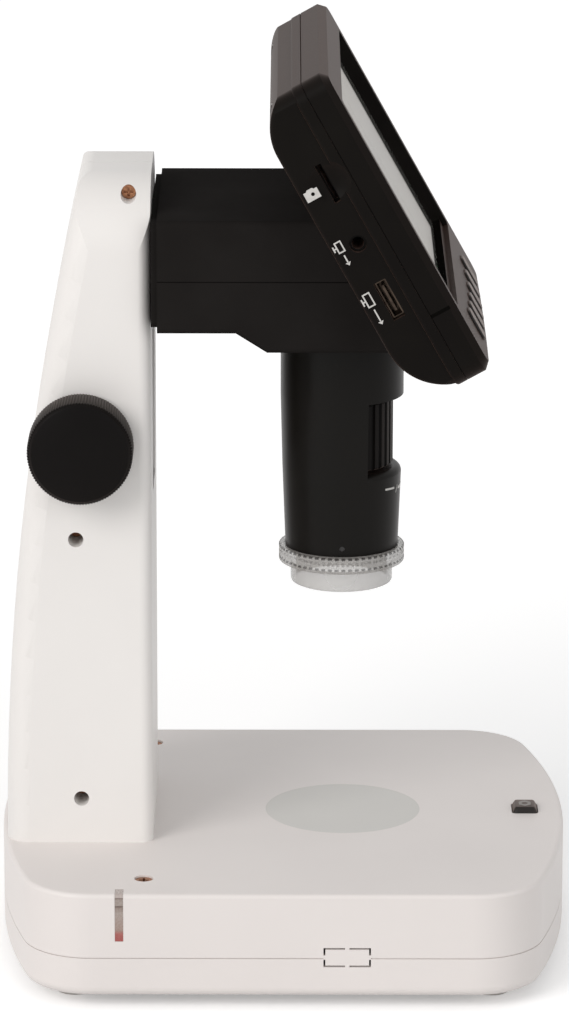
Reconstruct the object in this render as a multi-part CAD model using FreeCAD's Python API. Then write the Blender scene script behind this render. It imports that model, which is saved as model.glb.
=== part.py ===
import FreeCAD, Part
import math
import os

from FreeCAD import Vector

# Desktop microscope with a tilted screen on a column, in millimetres.
# X runs across the width, -Y is the side that the user sits at, Z is up.
# The origin is on the table, under the middle of the base.

# Base
base_length = 171.6
base_width = 160.5
base_height = 32.0
base_end_bow = 240.0
base_corner_r = 21.0
base_top_edge_r = 1.3
base_bottom_edge_r = 3.0
base_wall = 2.4
base_cover_height = 12.2
foot_height = 4.0
foot_r = 6.5
foot_spacing_x = 124.0
foot_spacing_y = 124.0
foot_pocket_depth = 1.0

# Stage
stage_y = -18.2
stage_r = 23.6
stage_lip = 1.9
stage_lip_height = 1.2
stage_lip_gap = 0.4
stage_well_wall = 1.6
stage_well_height = 11.0
stage_led_pitch = 12.0
led_size = 3.0
led_height = 1.4
board_thickness = 1.6

# Column
column_half_width = 32.7
column_front_y = 39.3
column_foot_rear_y = 83.5
column_height = 202.9
column_rear_bow = 892.0
column_top_side_r = 20.0
column_top_rear_r = 4.0
column_front_edge_r = 3.5
column_rear_edge_r = 7.0
column_wall = 2.5
column_slot_corner_r = 1.5
side_screw_places = [(45.8, 234.3),(61.9, 130.9), (60.8, 49.9)]
side_screw_hole_r = 2.3
side_boss_r = 3.5
foot_boss_x = 26.7
foot_boss_ys = [47.0, 75.0]
foot_boss_height = 14.0
foot_boss_r = 4.0

# Height focus
knob_y = 60.0
knob_z = 160.6
knob_r = 15.65
right_knob_r = 13.4
knob_width = 12.0
knob_gap = 1.3
knob_chamfer = 1.0
knob_wall = 3.0
knob_hollow_depth = 5.0
knob_hub_r = 5.6
shaft_r = 3.0
bush_r = 5.0
bush_flange_r = 7.0
bush_inner_length = 5.0
gear_module = 0.8
pinion_teeth = 16
pinion_width = 12.0
pinion_hub_r = 4.8
gear_backlash = 0.14
pinion_addendum = 0.7
pinion_dedendum = 1.0
rack_addendum = 0.6
rack_dedendum = 0.9
rack_width = 10.0
travel_down = 58.0
travel_up = 3.0
rod_r = 2.5
rod_spacing = 38.0
rod_y = 46.6
carriage_half_width = 25.0
carriage_front_y = 42.2
carriage_back_y = 51.0
neck_half_width = 12.0
neck_bottom_z = 199.0
neck_top_z = 225.0
rod_plate_height = 2.6

# Arm
arm_half_width = 39.0
arm_top_z = 229.0
arm_seam_z = 211.0
arm_rear_bottom_z = 195.2
arm_front_bottom_z = 189.4
arm_slope_rear_y = 14.2
arm_slope_front_y = 5.0
arm_edge_r = 2.0
arm_wall = 2.2
mount_plate_inset = 1.5
mount_plate_thickness = 1.8
column_running_gap = 0.2

# Camera tube
axis_y = -17.5
tube_rim_z = 120.3
tube_rim_r = 17.0
tube_shoulder_z = 146.0
tube_shoulder_r = 18.0
tube_shoulder_edge_r = 2.0
tube_collar_z = 168.3
tube_collar_r = 18.55
tube_wall = 1.9
tube_cap_thickness = 2.0
tube_neck_r = 10.5
window_half_angle = 65.0
wheel_r = 15.4
wheel_bottom_z = 146.6
wheel_top_z = 167.7
wheel_bore_r = 9.2
barrel_length = 36.0
barrel_wall = 2.4
barrel_travel = 2.5
running_fit = 0.06
guide_slot_width = 3.0

# Clear cap
cap_flange_r = 19.0
cap_flange_top_z = 121.3
cap_flange_bottom_z = 116.0
cap_ring_r = 15.4
cap_ring_wall = 1.6
cap_bottom_z = 109.6
cap_pull_travel = 10.0

# Display head
display_tilt = 29.2
display_edge_y = -10.0
display_edge_z = 276.4
display_half_width = 61.0
display_height = 100.9
display_bottom_bow = 2000.0
display_corner_r = 6.0
display_wall = 2.2
face_t = 1.9
face_chamfer = 2.0
shell_seam_t = -6.0
lip_t = -9.7
back_t = -22.1
back_inset = 0.9
back_top_arc_s = 15.0
back_top_arc_r = 17.3
back_bottom_arc_s = 81.2
back_bottom_arc_r = 18.4
window_half_width = 55.0
window_top_s = 10.2
window_bottom_s = 77.6
window_level_t = -2.3
window_step = 1.8
window_step_t = 0.2
glass_thickness = 1.2
glass_margin = 1.2
lcd_margin = 1.0
lcd_thickness = 3.4
key_count = 6
key_pitch = 13.7
key_width = 8.0
key_top_s = 88.6
key_bottom_s = 97.4
key_row_bow = 267.0
key_corner_r = 2.6
key_flange = 1.2
key_flange_thickness = 1.0
key_proud = 0.8
key_travel = 0.4
key_gap = 0.2
keypad_board_top_s = 86.2
keypad_board_bottom_s = 96.0
keypad_half_width = 49.0
keypad_post_x = 44.0
keypad_post_s = 91.0
card_slot_s = 28.6
card_slot_t = -13.1
card_slot_length = 12.4
card_slot_height = 2.0
card_scoop_r = 10.0
card_scoop_depth = 2.6
card_socket_recess = 1.2
jack_s = 48.3
jack_r = 1.8
video_port_s = 67.2
video_port_length = 12.4
video_port_height = 3.8
port_t = -14.1
board_margin = 1.9
board_top_s = 2.6
board_bottom_s = 92.0
display_boss_x = 46.0
display_boss_ss = [5.4, 82.4]
display_boss_r = 3.2
display_screw_depth = 6.6

# Base details
button_y = -74.2
button_length = 7.6
button_width = 9.2
button_proud = 1.7
button_travel = 0.8
button_gap = 0.25
button_flange = 1.2
button_edge_r = 0.7
top_screw_x = 65.6
top_screw_y = 41.3
light_pipe_y = 48.3
light_pipe_width = 2.4
light_pipe_depth = 5.0
light_pipe_bottom_z = 21.5
blank_panel_y = -18.9
blank_panel_z = 16.5
blank_panel_length = 14.0
blank_panel_height = 6.0
blank_panel_gap = 0.55
blank_tab = 1.3
dc_inlet_x = 34.0
dc_inlet_z = 23.0
dc_inlet_r = 2.8
dc_inlet_rim = 1.1
dc_inlet_half = 4.5
dc_inlet_depth = 13.0

# Fasteners
screw_r = 1.5
screw_head_r = 2.6
screw_head_height = 1.8
thread_clearance = 0.04
through_clearance = 0.2
head_clearance = 0.25
socket_r = 4.0
foot_pocket_gap = 0.15
seat_gap = 0.05
groove_depth = 0.45
groove_half_width = 0.16

base_bottom_z = foot_height
base_top_z = foot_height + base_height
base_seam_z = base_bottom_z + base_cover_height
column_top_z = base_top_z + column_height
column_seat_z = base_top_z
pitch_r = gear_module * pinion_teeth / 2
tooth_pitch = math.pi * gear_module
pitch_line_y = knob_y - pitch_r
rack_bottom_z = knob_z - travel_up - 5.0
rack_top_z = knob_z + travel_down + 5.0
stage_top_z = base_top_z
tilt = math.radians(display_tilt)


def box(x0, x1, y0, y1, z0, z1):
    return Part.makeBox(x1 - x0, y1 - y0, z1 - z0, Vector(x0, y0, z0))


def cylinder(radius, start, end):
    a = Vector(*start)
    b = Vector(*end)
    return Part.makeCylinder(radius, (b - a).Length, a, b - a)


def upright(radius, x, y, z0, z1):
    return cylinder(radius, (x, y, z0), (x, y, z1))


def cone(r0, r1, x, y, z0, z1):
    return Part.makeCone(r0, r1, z1 - z0, Vector(x, y, z0), Vector(0, 0, 1))


def fuse(shapes):
    result = shapes[0]
    for shape in shapes[1:]:
        result = result.fuse(shape)
    return result.removeSplitter()


def cut(shape, tools):
    for tool in tools:
        shape = shape.cut(tool)
    return shape


def group(shapes):
    return Part.makeCompound(shapes)


def line(a, b):
    return Part.LineSegment(Vector(*a), Vector(*b)).toShape()


def arc(a, middle, b):
    return Part.Arc(Vector(*a), Vector(*middle), Vector(*b)).toShape()


def prism(edges, direction):
    return Part.Face(Part.Wire(edges)).extrude(Vector(*direction))


def polygon_prism(points, direction):
    corners = [Vector(*p) for p in points]
    return Part.Face(Part.makePolygon(corners + corners[:1])).extrude(Vector(*direction))


def is_upright(edge):
    a, b = edge.Vertexes[0].Point, edge.Vertexes[-1].Point
    return abs(a.x - b.x) < 1e-4 and abs(a.y - b.y) < 1e-4 and abs(a.z - b.z) > 1e-3


def is_level(edge, z):
    return all(abs(v.Z - z) < 1e-4 for v in edge.Vertexes)


def round_upright(shape, radius):
    return shape.makeFillet(radius, [e for e in shape.Edges if is_upright(e)])


def round_level(shape, z, radius):
    return shape.makeFillet(radius, [e for e in shape.Edges if is_level(e, z)])


def rounded_block(x0, x1, y0, y1, z0, z1, radius):
    return round_upright(box(x0, x1, y0, y1, z0, z1), radius)


def pan_screw(tip, head, top):
    """A pan-head screw from the shaft's tip to the head's seat, along the line towards top."""
    start, seat, end = Vector(*tip), Vector(*head), Vector(*top)
    along = (end - seat).normalize()
    shaft = Part.makeCylinder(screw_r, (seat - start).Length, start, seat - start)
    button = Part.makeCylinder(screw_head_r, screw_head_height, seat, along)
    slot_depth = screw_head_height * 0.55
    bottom = seat + along * (screw_head_height - slot_depth)
    recess = []
    turn = FreeCAD.Rotation(Vector(0, 0, 1), along)
    for long_x, long_y in ((3.0, 0.7), (0.7, 3.0)):
        bar = Part.makeBox(long_x, long_y, slot_depth + 1.0, Vector(-long_x / 2, -long_y / 2, 0))
        bar.Placement = FreeCAD.Placement(bottom, turn)
        recess.append(bar)
    return cut(fuse([shaft, button]), recess)


# Base

def base_blank(inset, z0, z1):
    half_x = base_width / 2 - inset
    half_y = base_length / 2
    bow = base_end_bow - inset
    centre = half_y - base_end_bow
    end_y = centre + math.sqrt(bow ** 2 - half_x ** 2)
    tip_y = half_y - inset
    edges = [
        arc((-half_x, -end_y, z0), (0, -tip_y, z0), (half_x, -end_y, z0)),
        line((half_x, -end_y, z0), (half_x, end_y, z0)),
        arc((half_x, end_y, z0), (0, tip_y, z0), (-half_x, end_y, z0)),
        line((-half_x, end_y, z0), (-half_x, -end_y, z0)),
    ]
    return round_upright(prism(edges, (0, 0, z1 - z0)), base_corner_r - inset)


def base_outer():
    body = base_blank(0.0, base_bottom_z, base_top_z)
    body = round_level(body, base_top_z, base_top_edge_r)
    return round_level(body, base_bottom_z, base_bottom_edge_r)


def base_cavity():
    return base_blank(base_wall, base_bottom_z + base_wall, base_top_z - base_wall)


def light_pipe_room(grow):
    half = light_pipe_width / 2 + grow
    outer_x = base_width / 2
    return box(-outer_x - 1, -outer_x + light_pipe_depth, light_pipe_y - half, light_pipe_y + half,
               light_pipe_bottom_z - grow, base_top_z + 1)


def blank_panel_room(grow):
    half = blank_panel_length / 2 + grow
    low = blank_panel_z - blank_panel_height / 2 - grow
    high = blank_panel_z + blank_panel_height / 2 + grow
    outer_x = base_width / 2
    return box(-outer_x - 1, -outer_x + base_wall + 0.5, blank_panel_y - half, blank_panel_y + half, low, high)


def button_room(grow, z0, z1):
    half_x = button_width / 2 + grow
    half_y = button_length / 2 + grow
    return rounded_block(-half_x, half_x, button_y - half_y, button_y + half_y, z0, z1, 1.0 + grow)


cover_side_screws = [(x, y) for x in (-68.0, 68.0) for y in (-44.0, 32.0)]
cover_rear_screws = [(-13.0, 78.0), (13.0, 78.0)]
cover_screw_places = cover_side_screws + cover_rear_screws
cover_screw_seat_z = 7.0
cover_screw_tip_z = 22.0
cover_boss_r = 4.5
cover_boss_top_z = 14.0
board_post_r = 3.5
board_pin_r = 0.9
control_board_z = 25.6
control_board_xs = (-26.0, 26.0)
control_board_ys = (-79.0, -56.0)
board_post_places = [(x, y) for x in (control_board_xs[0] + 4, control_board_xs[1] - 4)
                     for y in (control_board_ys[0] + 4, control_board_ys[1] - 4)]
foot_places = [(x, y) for x in (-foot_spacing_x / 2, foot_spacing_x / 2)
               for y in (-foot_spacing_y / 2, foot_spacing_y / 2)]
column_cable_hole_r = 7.0
column_cable_hole_y = 60.0
foot_screw_seat_z = base_top_z - base_wall
top_screw_seat_z = base_top_z - screw_head_height - 0.5
top_screw_length = 7.0


def base_end_y(x):
    """The distance from the middle of the base to its bowed end wall, at x."""
    return base_length / 2 - base_end_bow + math.sqrt(base_end_bow ** 2 - x ** 2)


def base_seam_cut():
    z0, z1 = base_seam_z - groove_half_width, base_seam_z + groove_half_width
    return base_blank(-1.0, z0, z1).cut(base_blank(groove_depth, z0, z1))


stage_well_r = stage_r + stage_lip + stage_lip_gap


def stage_well():
    top = base_top_z - base_wall
    ring = upright(stage_well_r + stage_well_wall, 0, stage_y, top - stage_well_height, top)
    return ring.cut(upright(stage_well_r, 0, stage_y, top - stage_well_height, top))


dc_wall_y = base_end_y(dc_inlet_x + dc_inlet_r + dc_inlet_rim)


def dc_inlet_axis(radius, start, end):
    """A cylinder about the inlet's axis, from start to end outside the bowed wall."""
    return cylinder(radius, (dc_inlet_x, dc_wall_y + start, dc_inlet_z), (dc_inlet_x, dc_wall_y + end, dc_inlet_z))


def base_top_shell():
    shell = base_outer().cut(base_cavity())
    keep = box(-base_width, base_width, -base_length, base_length, base_seam_z, base_top_z + 1)
    shell = shell.common(keep)
    roof = base_top_z - base_wall
    bosses = [upright(cover_boss_r, x, y, cover_boss_top_z, roof) for x, y in cover_screw_places]
    posts = [upright(board_post_r, x, y, control_board_z + board_thickness, roof) for x, y in board_post_places]
    pins = [upright(board_pin_r, x, y, control_board_z - 0.6, roof) for x, y in board_post_places]
    socket_low = top_screw_seat_z - top_screw_length - 1.0
    sockets = [upright(socket_r, sx * top_screw_x, top_screw_y, socket_low, roof) for sx in (-1, 1)]
    shell = fuse([shell, stage_well()] + bosses + posts + pins + sockets)
    tools = [upright(stage_r + seat_gap, 0, stage_y, roof - 1, base_top_z + 1)]
    tools.append(button_room(button_gap, roof - 1, base_top_z + 1))
    tools.append(light_pipe_room(seat_gap))
    tools.append(blank_panel_room(0.0))
    tools.append(base_seam_cut())
    tools.append(upright(column_cable_hole_r, 0, column_cable_hole_y, roof - 1, base_top_z + 1))
    tools.append(dc_inlet_axis(dc_inlet_r + dc_inlet_rim + seat_gap, -6.0, 3.0))
    for x, y in cover_screw_places:
        tools.append(upright(screw_r + thread_clearance, x, y, cover_boss_top_z - 1, cover_screw_tip_z + 2))
    for x in (-foot_boss_x, foot_boss_x):
        for y in foot_boss_ys:
            tools.append(upright(screw_r + through_clearance, x, y, roof - 1, base_top_z + 1))
    for sx in (-1, 1):
        x = sx * top_screw_x
        tools.append(upright(screw_head_r + head_clearance, x, top_screw_y, top_screw_seat_z, base_top_z + 1))
        tools.append(upright(screw_r + thread_clearance, x, top_screw_y, socket_low - 1, base_top_z))
    return cut(shell, tools)


def base_bottom_cover():
    shell = base_outer().cut(base_cavity())
    keep = box(-base_width, base_width, -base_length, base_length, base_bottom_z - 1, base_seam_z)
    shell = shell.common(keep)
    tubes = [upright(cover_boss_r, x, y, base_bottom_z + 1, cover_boss_top_z - seat_gap)
             for x, y in cover_screw_places]
    rails = []
    for y in battery_rail_ys:
        rails.append(box(battery_xs[0], battery_xs[1], y - battery_rail / 2, y + battery_rail / 2,
                         base_bottom_z + 1, inner_floor_z + battery_rail_height))
    shell = fuse([shell] + tubes + rails)
    tools = [base_seam_cut(), blank_panel_room(0.0)]
    for x, y in cover_screw_places:
        tools.append(upright(screw_r + through_clearance, x, y, base_bottom_z - 1, cover_boss_top_z + 1))
        tools.append(upright(screw_head_r + head_clearance, x, y, base_bottom_z - 1, cover_screw_seat_z))
    for x, y in foot_places:
        tools.append(upright(foot_r + foot_pocket_gap, x, y, base_bottom_z - 1, base_bottom_z + foot_pocket_depth))
    return cut(shell, tools)


battery_xs = (-36.0, 36.0)
battery_ys = (10.0, 48.0)
battery_cell_r = 9.2
battery_cell_inset = 3.0
battery_rail = 1.6
battery_rail_height = 4.6
battery_rail_ys = (battery_ys[0] - battery_rail / 2 - 0.3, battery_ys[1] + battery_rail / 2 + 0.3)
ballast_xs = (-46.0, 46.0)
ballast_ys = (-52.0, 4.0)
ballast_height = 4.0
inner_floor_z = base_bottom_z + base_wall


def base_battery():
    cells = []
    pitch = (battery_ys[1] - battery_ys[0]) / 2
    axis_z = inner_floor_z + battery_cell_r
    ends = (battery_xs[0] + battery_cell_inset, battery_xs[1] - battery_cell_inset)
    for i in range(2):
        y = battery_ys[0] + pitch * (i + 0.5)
        cells.append(cylinder(battery_cell_r, (ends[0], y, axis_z), (ends[1], y, axis_z)))
    sleeve = box(battery_xs[0], battery_xs[1], battery_ys[0], battery_ys[1], inner_floor_z, inner_floor_z + 3.0)
    return fuse([sleeve] + cells)


def ballast_plate():
    plate = rounded_block(ballast_xs[0], ballast_xs[1], ballast_ys[0], ballast_ys[1], inner_floor_z,
                          inner_floor_z + ballast_height, 5.0)
    return plate


def rubber_feet():
    feet = []
    for x, y in foot_places:
        foot = cone(foot_r - 1.0, foot_r, x, y, 0, 1.0)
        foot = fuse([foot, upright(foot_r, x, y, 1.0, base_bottom_z + foot_pocket_depth)])
        feet.append(foot)
    return group(feet)


def base_cover_screws():
    screws = []
    for x, y in cover_screw_places:
        screws.append(pan_screw((x, y, cover_screw_tip_z), (x, y, cover_screw_seat_z), (x, y, 0)))
    return group(screws)


def base_top_screws():
    screws = []
    for x in (-top_screw_x, top_screw_x):
        tip = (x, top_screw_y, top_screw_seat_z - top_screw_length)
        screws.append(pan_screw(tip, (x, top_screw_y, top_screw_seat_z), (x, top_screw_y, base_top_z)))
    return group(screws)


def stage_plate():
    roof = base_top_z - base_wall
    disc = upright(stage_r, 0, stage_y, roof, base_top_z)
    lip = upright(stage_r + stage_lip, 0, stage_y, roof - stage_lip_height, roof)
    return fuse([disc, lip])


def stage_light_board():
    top = base_top_z - base_wall - stage_well_height
    return upright(stage_well_r + stage_well_wall, 0, stage_y, top - board_thickness, top)


def stage_leds():
    top = base_top_z - base_wall - stage_well_height
    half = led_size / 2
    leds = []
    for i in (-1, 0, 1):
        for j in (-1, 0, 1):
            x = i * stage_led_pitch
            y = stage_y + j * stage_led_pitch
            leds.append(box(x - half, x + half, y - half, y + half, top, top + led_height))
    return group(leds)


def base_control_board():
    board = box(control_board_xs[0], control_board_xs[1], control_board_ys[0], control_board_ys[1],
                control_board_z, control_board_z + board_thickness)
    for x, y in board_post_places:
        board = board.cut(upright(board_pin_r + 0.1, x, y, control_board_z - 1, control_board_z + 3))
    outer = base_blank(base_wall + 0.4, control_board_z, control_board_z + board_thickness)
    board = board.common(outer)
    switch = box(-switch_half, switch_half, button_y - switch_half, button_y + switch_half,
                 control_board_z + board_thickness, switch_top_z)
    return fuse([board, switch])


switch_half = 3.0
switch_top_z = base_top_z - base_wall - button_travel - 2.4


def base_button():
    roof = base_top_z - base_wall
    cap = button_room(0.0, roof - button_flange, base_top_z + button_proud)
    cap = round_level(cap, base_top_z + button_proud, button_edge_r)
    reach_x = button_width / 2 + button_flange
    reach_y = button_length / 2 + button_flange
    flange = box(-reach_x, reach_x, button_y - reach_y, button_y + reach_y, roof - button_flange - seat_gap,
                 roof - seat_gap)
    stem = upright(1.6, 0, button_y, switch_top_z + button_travel + seat_gap, roof - 1.0)
    return fuse([cap, flange, stem])


def port_blanking_panel():
    plate = blank_panel_room(-blank_panel_gap)
    middle_y = box(-base_width, 0, blank_panel_y - blank_tab / 2, blank_panel_y + blank_tab / 2, 0, base_top_z)
    middle_z = box(-base_width, 0, blank_panel_y - 20, blank_panel_y + 20, blank_panel_z - blank_tab / 2,
                   blank_panel_z + blank_tab / 2)
    tabs = blank_panel_room(0.0).common(fuse([middle_y, middle_z]))
    panel = fuse([plate, tabs])
    wall = box(-base_width / 2, -base_width / 2 + base_wall, blank_panel_y - 20, blank_panel_y + 20, 0, base_top_z)
    return panel.common(wall)


def charge_light_pipe():
    room = light_pipe_room(0.0)
    pipe = base_outer().common(room)
    inner = box(-base_width / 2 + base_wall, 0, light_pipe_y - 5, light_pipe_y + 5, 0, base_top_z - 1.4)
    return pipe.cut(inner)


def dc_inlet():
    half = dc_inlet_half
    face_y = dc_wall_y - base_wall - 0.3
    body = box(dc_inlet_x - half, dc_inlet_x + half, face_y - dc_inlet_depth, face_y, dc_inlet_z - half,
               dc_inlet_z + half)
    body = body.common(base_blank(base_wall + 0.1, dc_inlet_z - half, dc_inlet_z + half))
    nose = dc_inlet_axis(dc_inlet_r + dc_inlet_rim, -6.0, -0.4)
    socket = fuse([body, nose]).cut(dc_inlet_axis(dc_inlet_r, -dc_inlet_depth + 2.0, 3.0))
    pin = dc_inlet_axis(1.0, -dc_inlet_depth + 1.0, -2.0)
    return fuse([socket, pin])


# Column

def column_rear_y(inset, z):
    bow = column_rear_bow - inset
    return column_foot_rear_y - column_rear_bow + math.sqrt(bow ** 2 - (z - column_seat_z) ** 2)


def column_bowed_prism(inset, half, top):
    """A block with the column's upright front and its bowed rear."""
    front = column_front_y + inset
    low = column_seat_z
    middle = (low + top) / 2
    edges = [
        line((-half, front, low), (-half, front, top)),
        line((-half, front, top), (-half, column_rear_y(inset, top), top)),
        arc((-half, column_rear_y(inset, top), top), (-half, column_rear_y(inset, middle), middle),
            (-half, column_rear_y(inset, low), low)),
        line((-half, column_rear_y(inset, low), low), (-half, front, low)),
    ]
    return prism(edges, (2 * half, 0, 0))


def column_side(inset):
    """The side outline, with its rounded rear top corner, wider than the column."""
    top = column_top_z - inset
    block = column_bowed_prism(inset, column_half_width + 5, top)
    radius = max(column_top_rear_r - inset, 1.0)
    corner = [e for e in block.Edges if is_level(e, top) and e.CenterOfMass.y > column_rear_y(inset, top) - 0.01]
    return block.makeFillet(radius, corner)


def column_rear(inset):
    """The column's width, with its rounded rear edges, taller than the column."""
    half = column_half_width - inset
    top = column_top_z + 15
    block = column_bowed_prism(inset, half, top)
    radius = max(column_rear_edge_r - inset, 1.0)
    rims = [e for e in block.Edges if abs(abs(e.CenterOfMass.x) - half) < 1e-3 and e.CenterOfMass.y > 60
            and e.Length > 100]
    return block.makeFillet(radius, rims)


def column_front(inset):
    """The front outline: a straight-sided door shape with large top corners."""
    half = column_half_width - inset
    top = column_top_z - inset
    r = column_top_side_r - inset
    low = column_seat_z
    d = r * math.sqrt(0.5)
    edges = [
        line((-half, 0, low), (-half, 0, top - r)),
        arc((-half, 0, top - r), (-half + r - d, 0, top - r + d), (-half + r, 0, top)),
        line((-half + r, 0, top), (half - r, 0, top)),
        arc((half - r, 0, top), (half - r + d, 0, top - r + d), (half, 0, top - r)),
        line((half, 0, top - r), (half, 0, low)),
        line((half, 0, low), (-half, 0, low)),
    ]
    return prism(edges, (0, 120, 0))


def column_front_edges(inset):
    """A block whose upright front edges are rounded."""
    half = column_half_width - inset
    front = column_front_y + inset
    block = box(-half, half, front, front + 80, column_seat_z, column_top_z)
    radius = max(column_front_edge_r - inset, 0.8)
    rims = [e for e in block.Edges if is_upright(e) and e.CenterOfMass.y < front + 1]
    return block.makeFillet(radius, rims)


def column_body(inset):
    body = column_side(inset).common(column_rear(inset))
    return body.common(column_front(inset)).common(column_front_edges(inset))


def column_outer():
    return column_body(0.0)


def column_cavity():
    return column_body(column_wall)


def column_slot():
    low = neck_bottom_z - travel_down - 0.8
    high = neck_top_z + travel_up + 0.8
    half = neck_half_width + 0.6
    block = box(-half, half, column_front_y - 2, column_front_y + column_wall + 1, low, high)
    ends = [e for e in block.Edges if abs(e.Vertexes[0].Y - e.Vertexes[-1].Y) > 1]
    return block.makeFillet(column_slot_corner_r, ends)


def column_seam_cut():
    band = box(-groove_half_width, groove_half_width, 0, 120, column_seat_z - 1, column_top_z + 1)
    inner = column_side(groove_depth)
    return band.cut(inner)


def column_shell():
    outer = column_outer()
    cavity = column_cavity()
    shell = outer.cut(cavity)
    bosses = []
    for y, z in side_screw_places:
        bosses.append(cylinder(side_boss_r, (-column_half_width, y, z), (column_half_width, y, z)))
    for x in (-foot_boss_x, foot_boss_x):
        for y in foot_boss_ys:
            bosses.append(upright(foot_boss_r, x, y, column_seat_z, column_seat_z + foot_boss_height))
    inside = [b.common(outer) for b in bosses]
    shell = fuse([shell] + inside)
    tools = [column_slot(), column_seam_cut()]
    for side in (-1, 1):
        wall_x = side * column_half_width
        tools.append(cylinder(bush_r + 0.02, (wall_x + side, knob_y, knob_z), (wall_x - side * 4, knob_y, knob_z)))
    for y, z in side_screw_places:
        tools.append(cylinder(side_screw_hole_r, (-column_half_width - 1, y, z), (side_screw_seat_x, y, z)))
        tools.append(cylinder(screw_r + 0.2, (-column_half_width, y, z), (0, y, z)))
        tools.append(cylinder(screw_r + thread_clearance, (0, y, z), (12.0, y, z)))
    for x in (-foot_boss_x, foot_boss_x):
        for y in foot_boss_ys:
            tools.append(upright(screw_r + thread_clearance, x, y, column_seat_z - 1, column_seat_z + 11.0))
    return cut(shell, tools)


side_screw_seat_x = -19.5
side_screw_head_r = 2.15


def column_half(shell, side):
    low = (-60, 0) if side < 0 else (0, 60)
    return shell.common(box(low[0], low[1], 0, 120, 0, column_top_z + 5))


def column_side_screws():
    screws = []
    for y, z in side_screw_places:
        shaft = cylinder(screw_r, (11.0, y, z), (side_screw_seat_x, y, z))
        head = cylinder(side_screw_head_r, (side_screw_seat_x, y, z), (side_screw_seat_x - screw_head_height, y, z))
        outer_x = side_screw_seat_x - screw_head_height
        slots = [box(outer_x - 1, outer_x + 0.9, y - a, y + a, z - b, z + b) for a, b in ((1.4, 0.35), (0.35, 1.4))]
        screws.append(cut(fuse([shaft, head]), slots))
    return group(screws)


def column_foot_screws():
    seat = foot_screw_seat_z
    return group([pan_screw((x, y, column_seat_z + 10.0), (x, y, seat), (x, y, 0))
                  for x in (-foot_boss_x, foot_boss_x) for y in foot_boss_ys])


# Height focus

rod_low_z = rack_bottom_z - travel_down - 2.6 - rod_plate_height
rod_high_z = rack_top_z + 0.4 + travel_up + 1.0 + rod_plate_height
carriage_top_z = rack_top_z + 0.4


def guide_rods():
    return group([upright(rod_r, sx * rod_spacing / 2, rod_y, rod_low_z, rod_high_z) for sx in (-1, 1)])


def guide_rod_plates():
    plates = []
    hollow = column_body(column_wall + seat_gap)
    for low in (rod_low_z, rod_high_z - rod_plate_height):
        plate = box(-column_half_width, column_half_width, column_front_y + column_wall + 0.3, carriage_back_y - 0.5,
                    low, low + rod_plate_height)
        plate = plate.common(hollow)
        for sx in (-1, 1):
            plate = plate.cut(upright(rod_r + 0.01, sx * rod_spacing / 2, rod_y, low - 1, low + rod_plate_height + 1))
        plates.append(plate)
    return group(plates)


def carriage():
    block = rounded_block(-carriage_half_width, carriage_half_width, carriage_front_y, carriage_back_y,
                          rack_bottom_z, carriage_top_z, 1.0)
    neck_front = column_front_y - column_running_gap
    neck = box(-neck_half_width, neck_half_width, neck_front, carriage_front_y + 1, neck_bottom_z, neck_top_z)
    body = fuse([block, neck])
    tools = [upright(rod_r + running_fit, sx * rod_spacing / 2, rod_y, rack_bottom_z - 1, carriage_top_z + 1)
             for sx in (-1, 1)]
    for x, z in mount_screw_places:
        tools.append(cylinder(screw_r + thread_clearance, (x, neck_front - 1, z), (x, carriage_back_y - 1.0, z)))
    return cut(body, tools)


mount_screw_places = [(x, z) for x in (-7.5, 7.5) for z in (neck_bottom_z + 5, neck_top_z - 5)]


def rack():
    half = rack_width / 2
    root_y = pitch_line_y - rack_dedendum
    tip_y = pitch_line_y + rack_addendum
    slope = math.tan(math.radians(20))
    bar = box(-half, half, carriage_back_y, root_y, rack_bottom_z, rack_top_z)
    half_tooth = (tooth_pitch - gear_backlash) / 4
    teeth = []
    first = math.ceil((rack_bottom_z - knob_z) / tooth_pitch)
    last = math.floor((rack_top_z - knob_z) / tooth_pitch) - 1
    for i in range(first, last + 1):
        z = knob_z + (i + 0.5) * tooth_pitch
        wide = half_tooth + rack_dedendum * slope
        narrow = half_tooth - rack_addendum * slope
        if z - wide < rack_bottom_z or z + wide > rack_top_z:
            continue
        points = [(-half, root_y - 0.2, z - wide), (-half, root_y, z - wide), (-half, tip_y, z - narrow),
                  (-half, tip_y, z + narrow), (-half, root_y, z + wide), (-half, root_y - 0.2, z + wide)]
        teeth.append(polygon_prism(points, (rack_width, 0, 0)))
    return fuse([bar] + teeth)


def involute(radius, base_r):
    alpha = math.acos(min(1.0, base_r / radius))
    return math.tan(alpha) - alpha


def pinion():
    base_r = pitch_r * math.cos(math.radians(20))
    tip_r = pitch_r + pinion_addendum
    root_r = pitch_r - pinion_dedendum
    half_angle = (tooth_pitch - gear_backlash) / 4 / pitch_r + involute(pitch_r, base_r)
    half = pinion_width / 2
    steps = 5
    points = []
    for k in range(pinion_teeth):
        middle = -math.pi / 2 + (k + 0.0) * 2 * math.pi / pinion_teeth
        flank = [(root_r, half_angle)]
        for i in range(steps):
            r = base_r + (tip_r - base_r) * i / (steps - 1)
            flank.append((r, half_angle - involute(r, base_r)))
        for r, a in flank:
            points.append((middle - a, r))
        for r, a in reversed(flank):
            points.append((middle + a, r))
    corners = [(-half, knob_y + r * math.sin(a), knob_z + r * math.cos(a)) for a, r in points]
    gear = polygon_prism(corners, (pinion_width, 0, 0))
    hub = cylinder(pinion_hub_r, (half, knob_y, knob_z), (half + 5.0, knob_y, knob_z))
    return fuse([gear, hub]).cut(cylinder(shaft_r, (-half - 1, knob_y, knob_z), (half + 6, knob_y, knob_z)))


def pinion_shaft():
    end = column_half_width + knob_gap + knob_width - 3.0
    return cylinder(shaft_r, (-end, knob_y, knob_z), (end, knob_y, knob_z))


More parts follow.
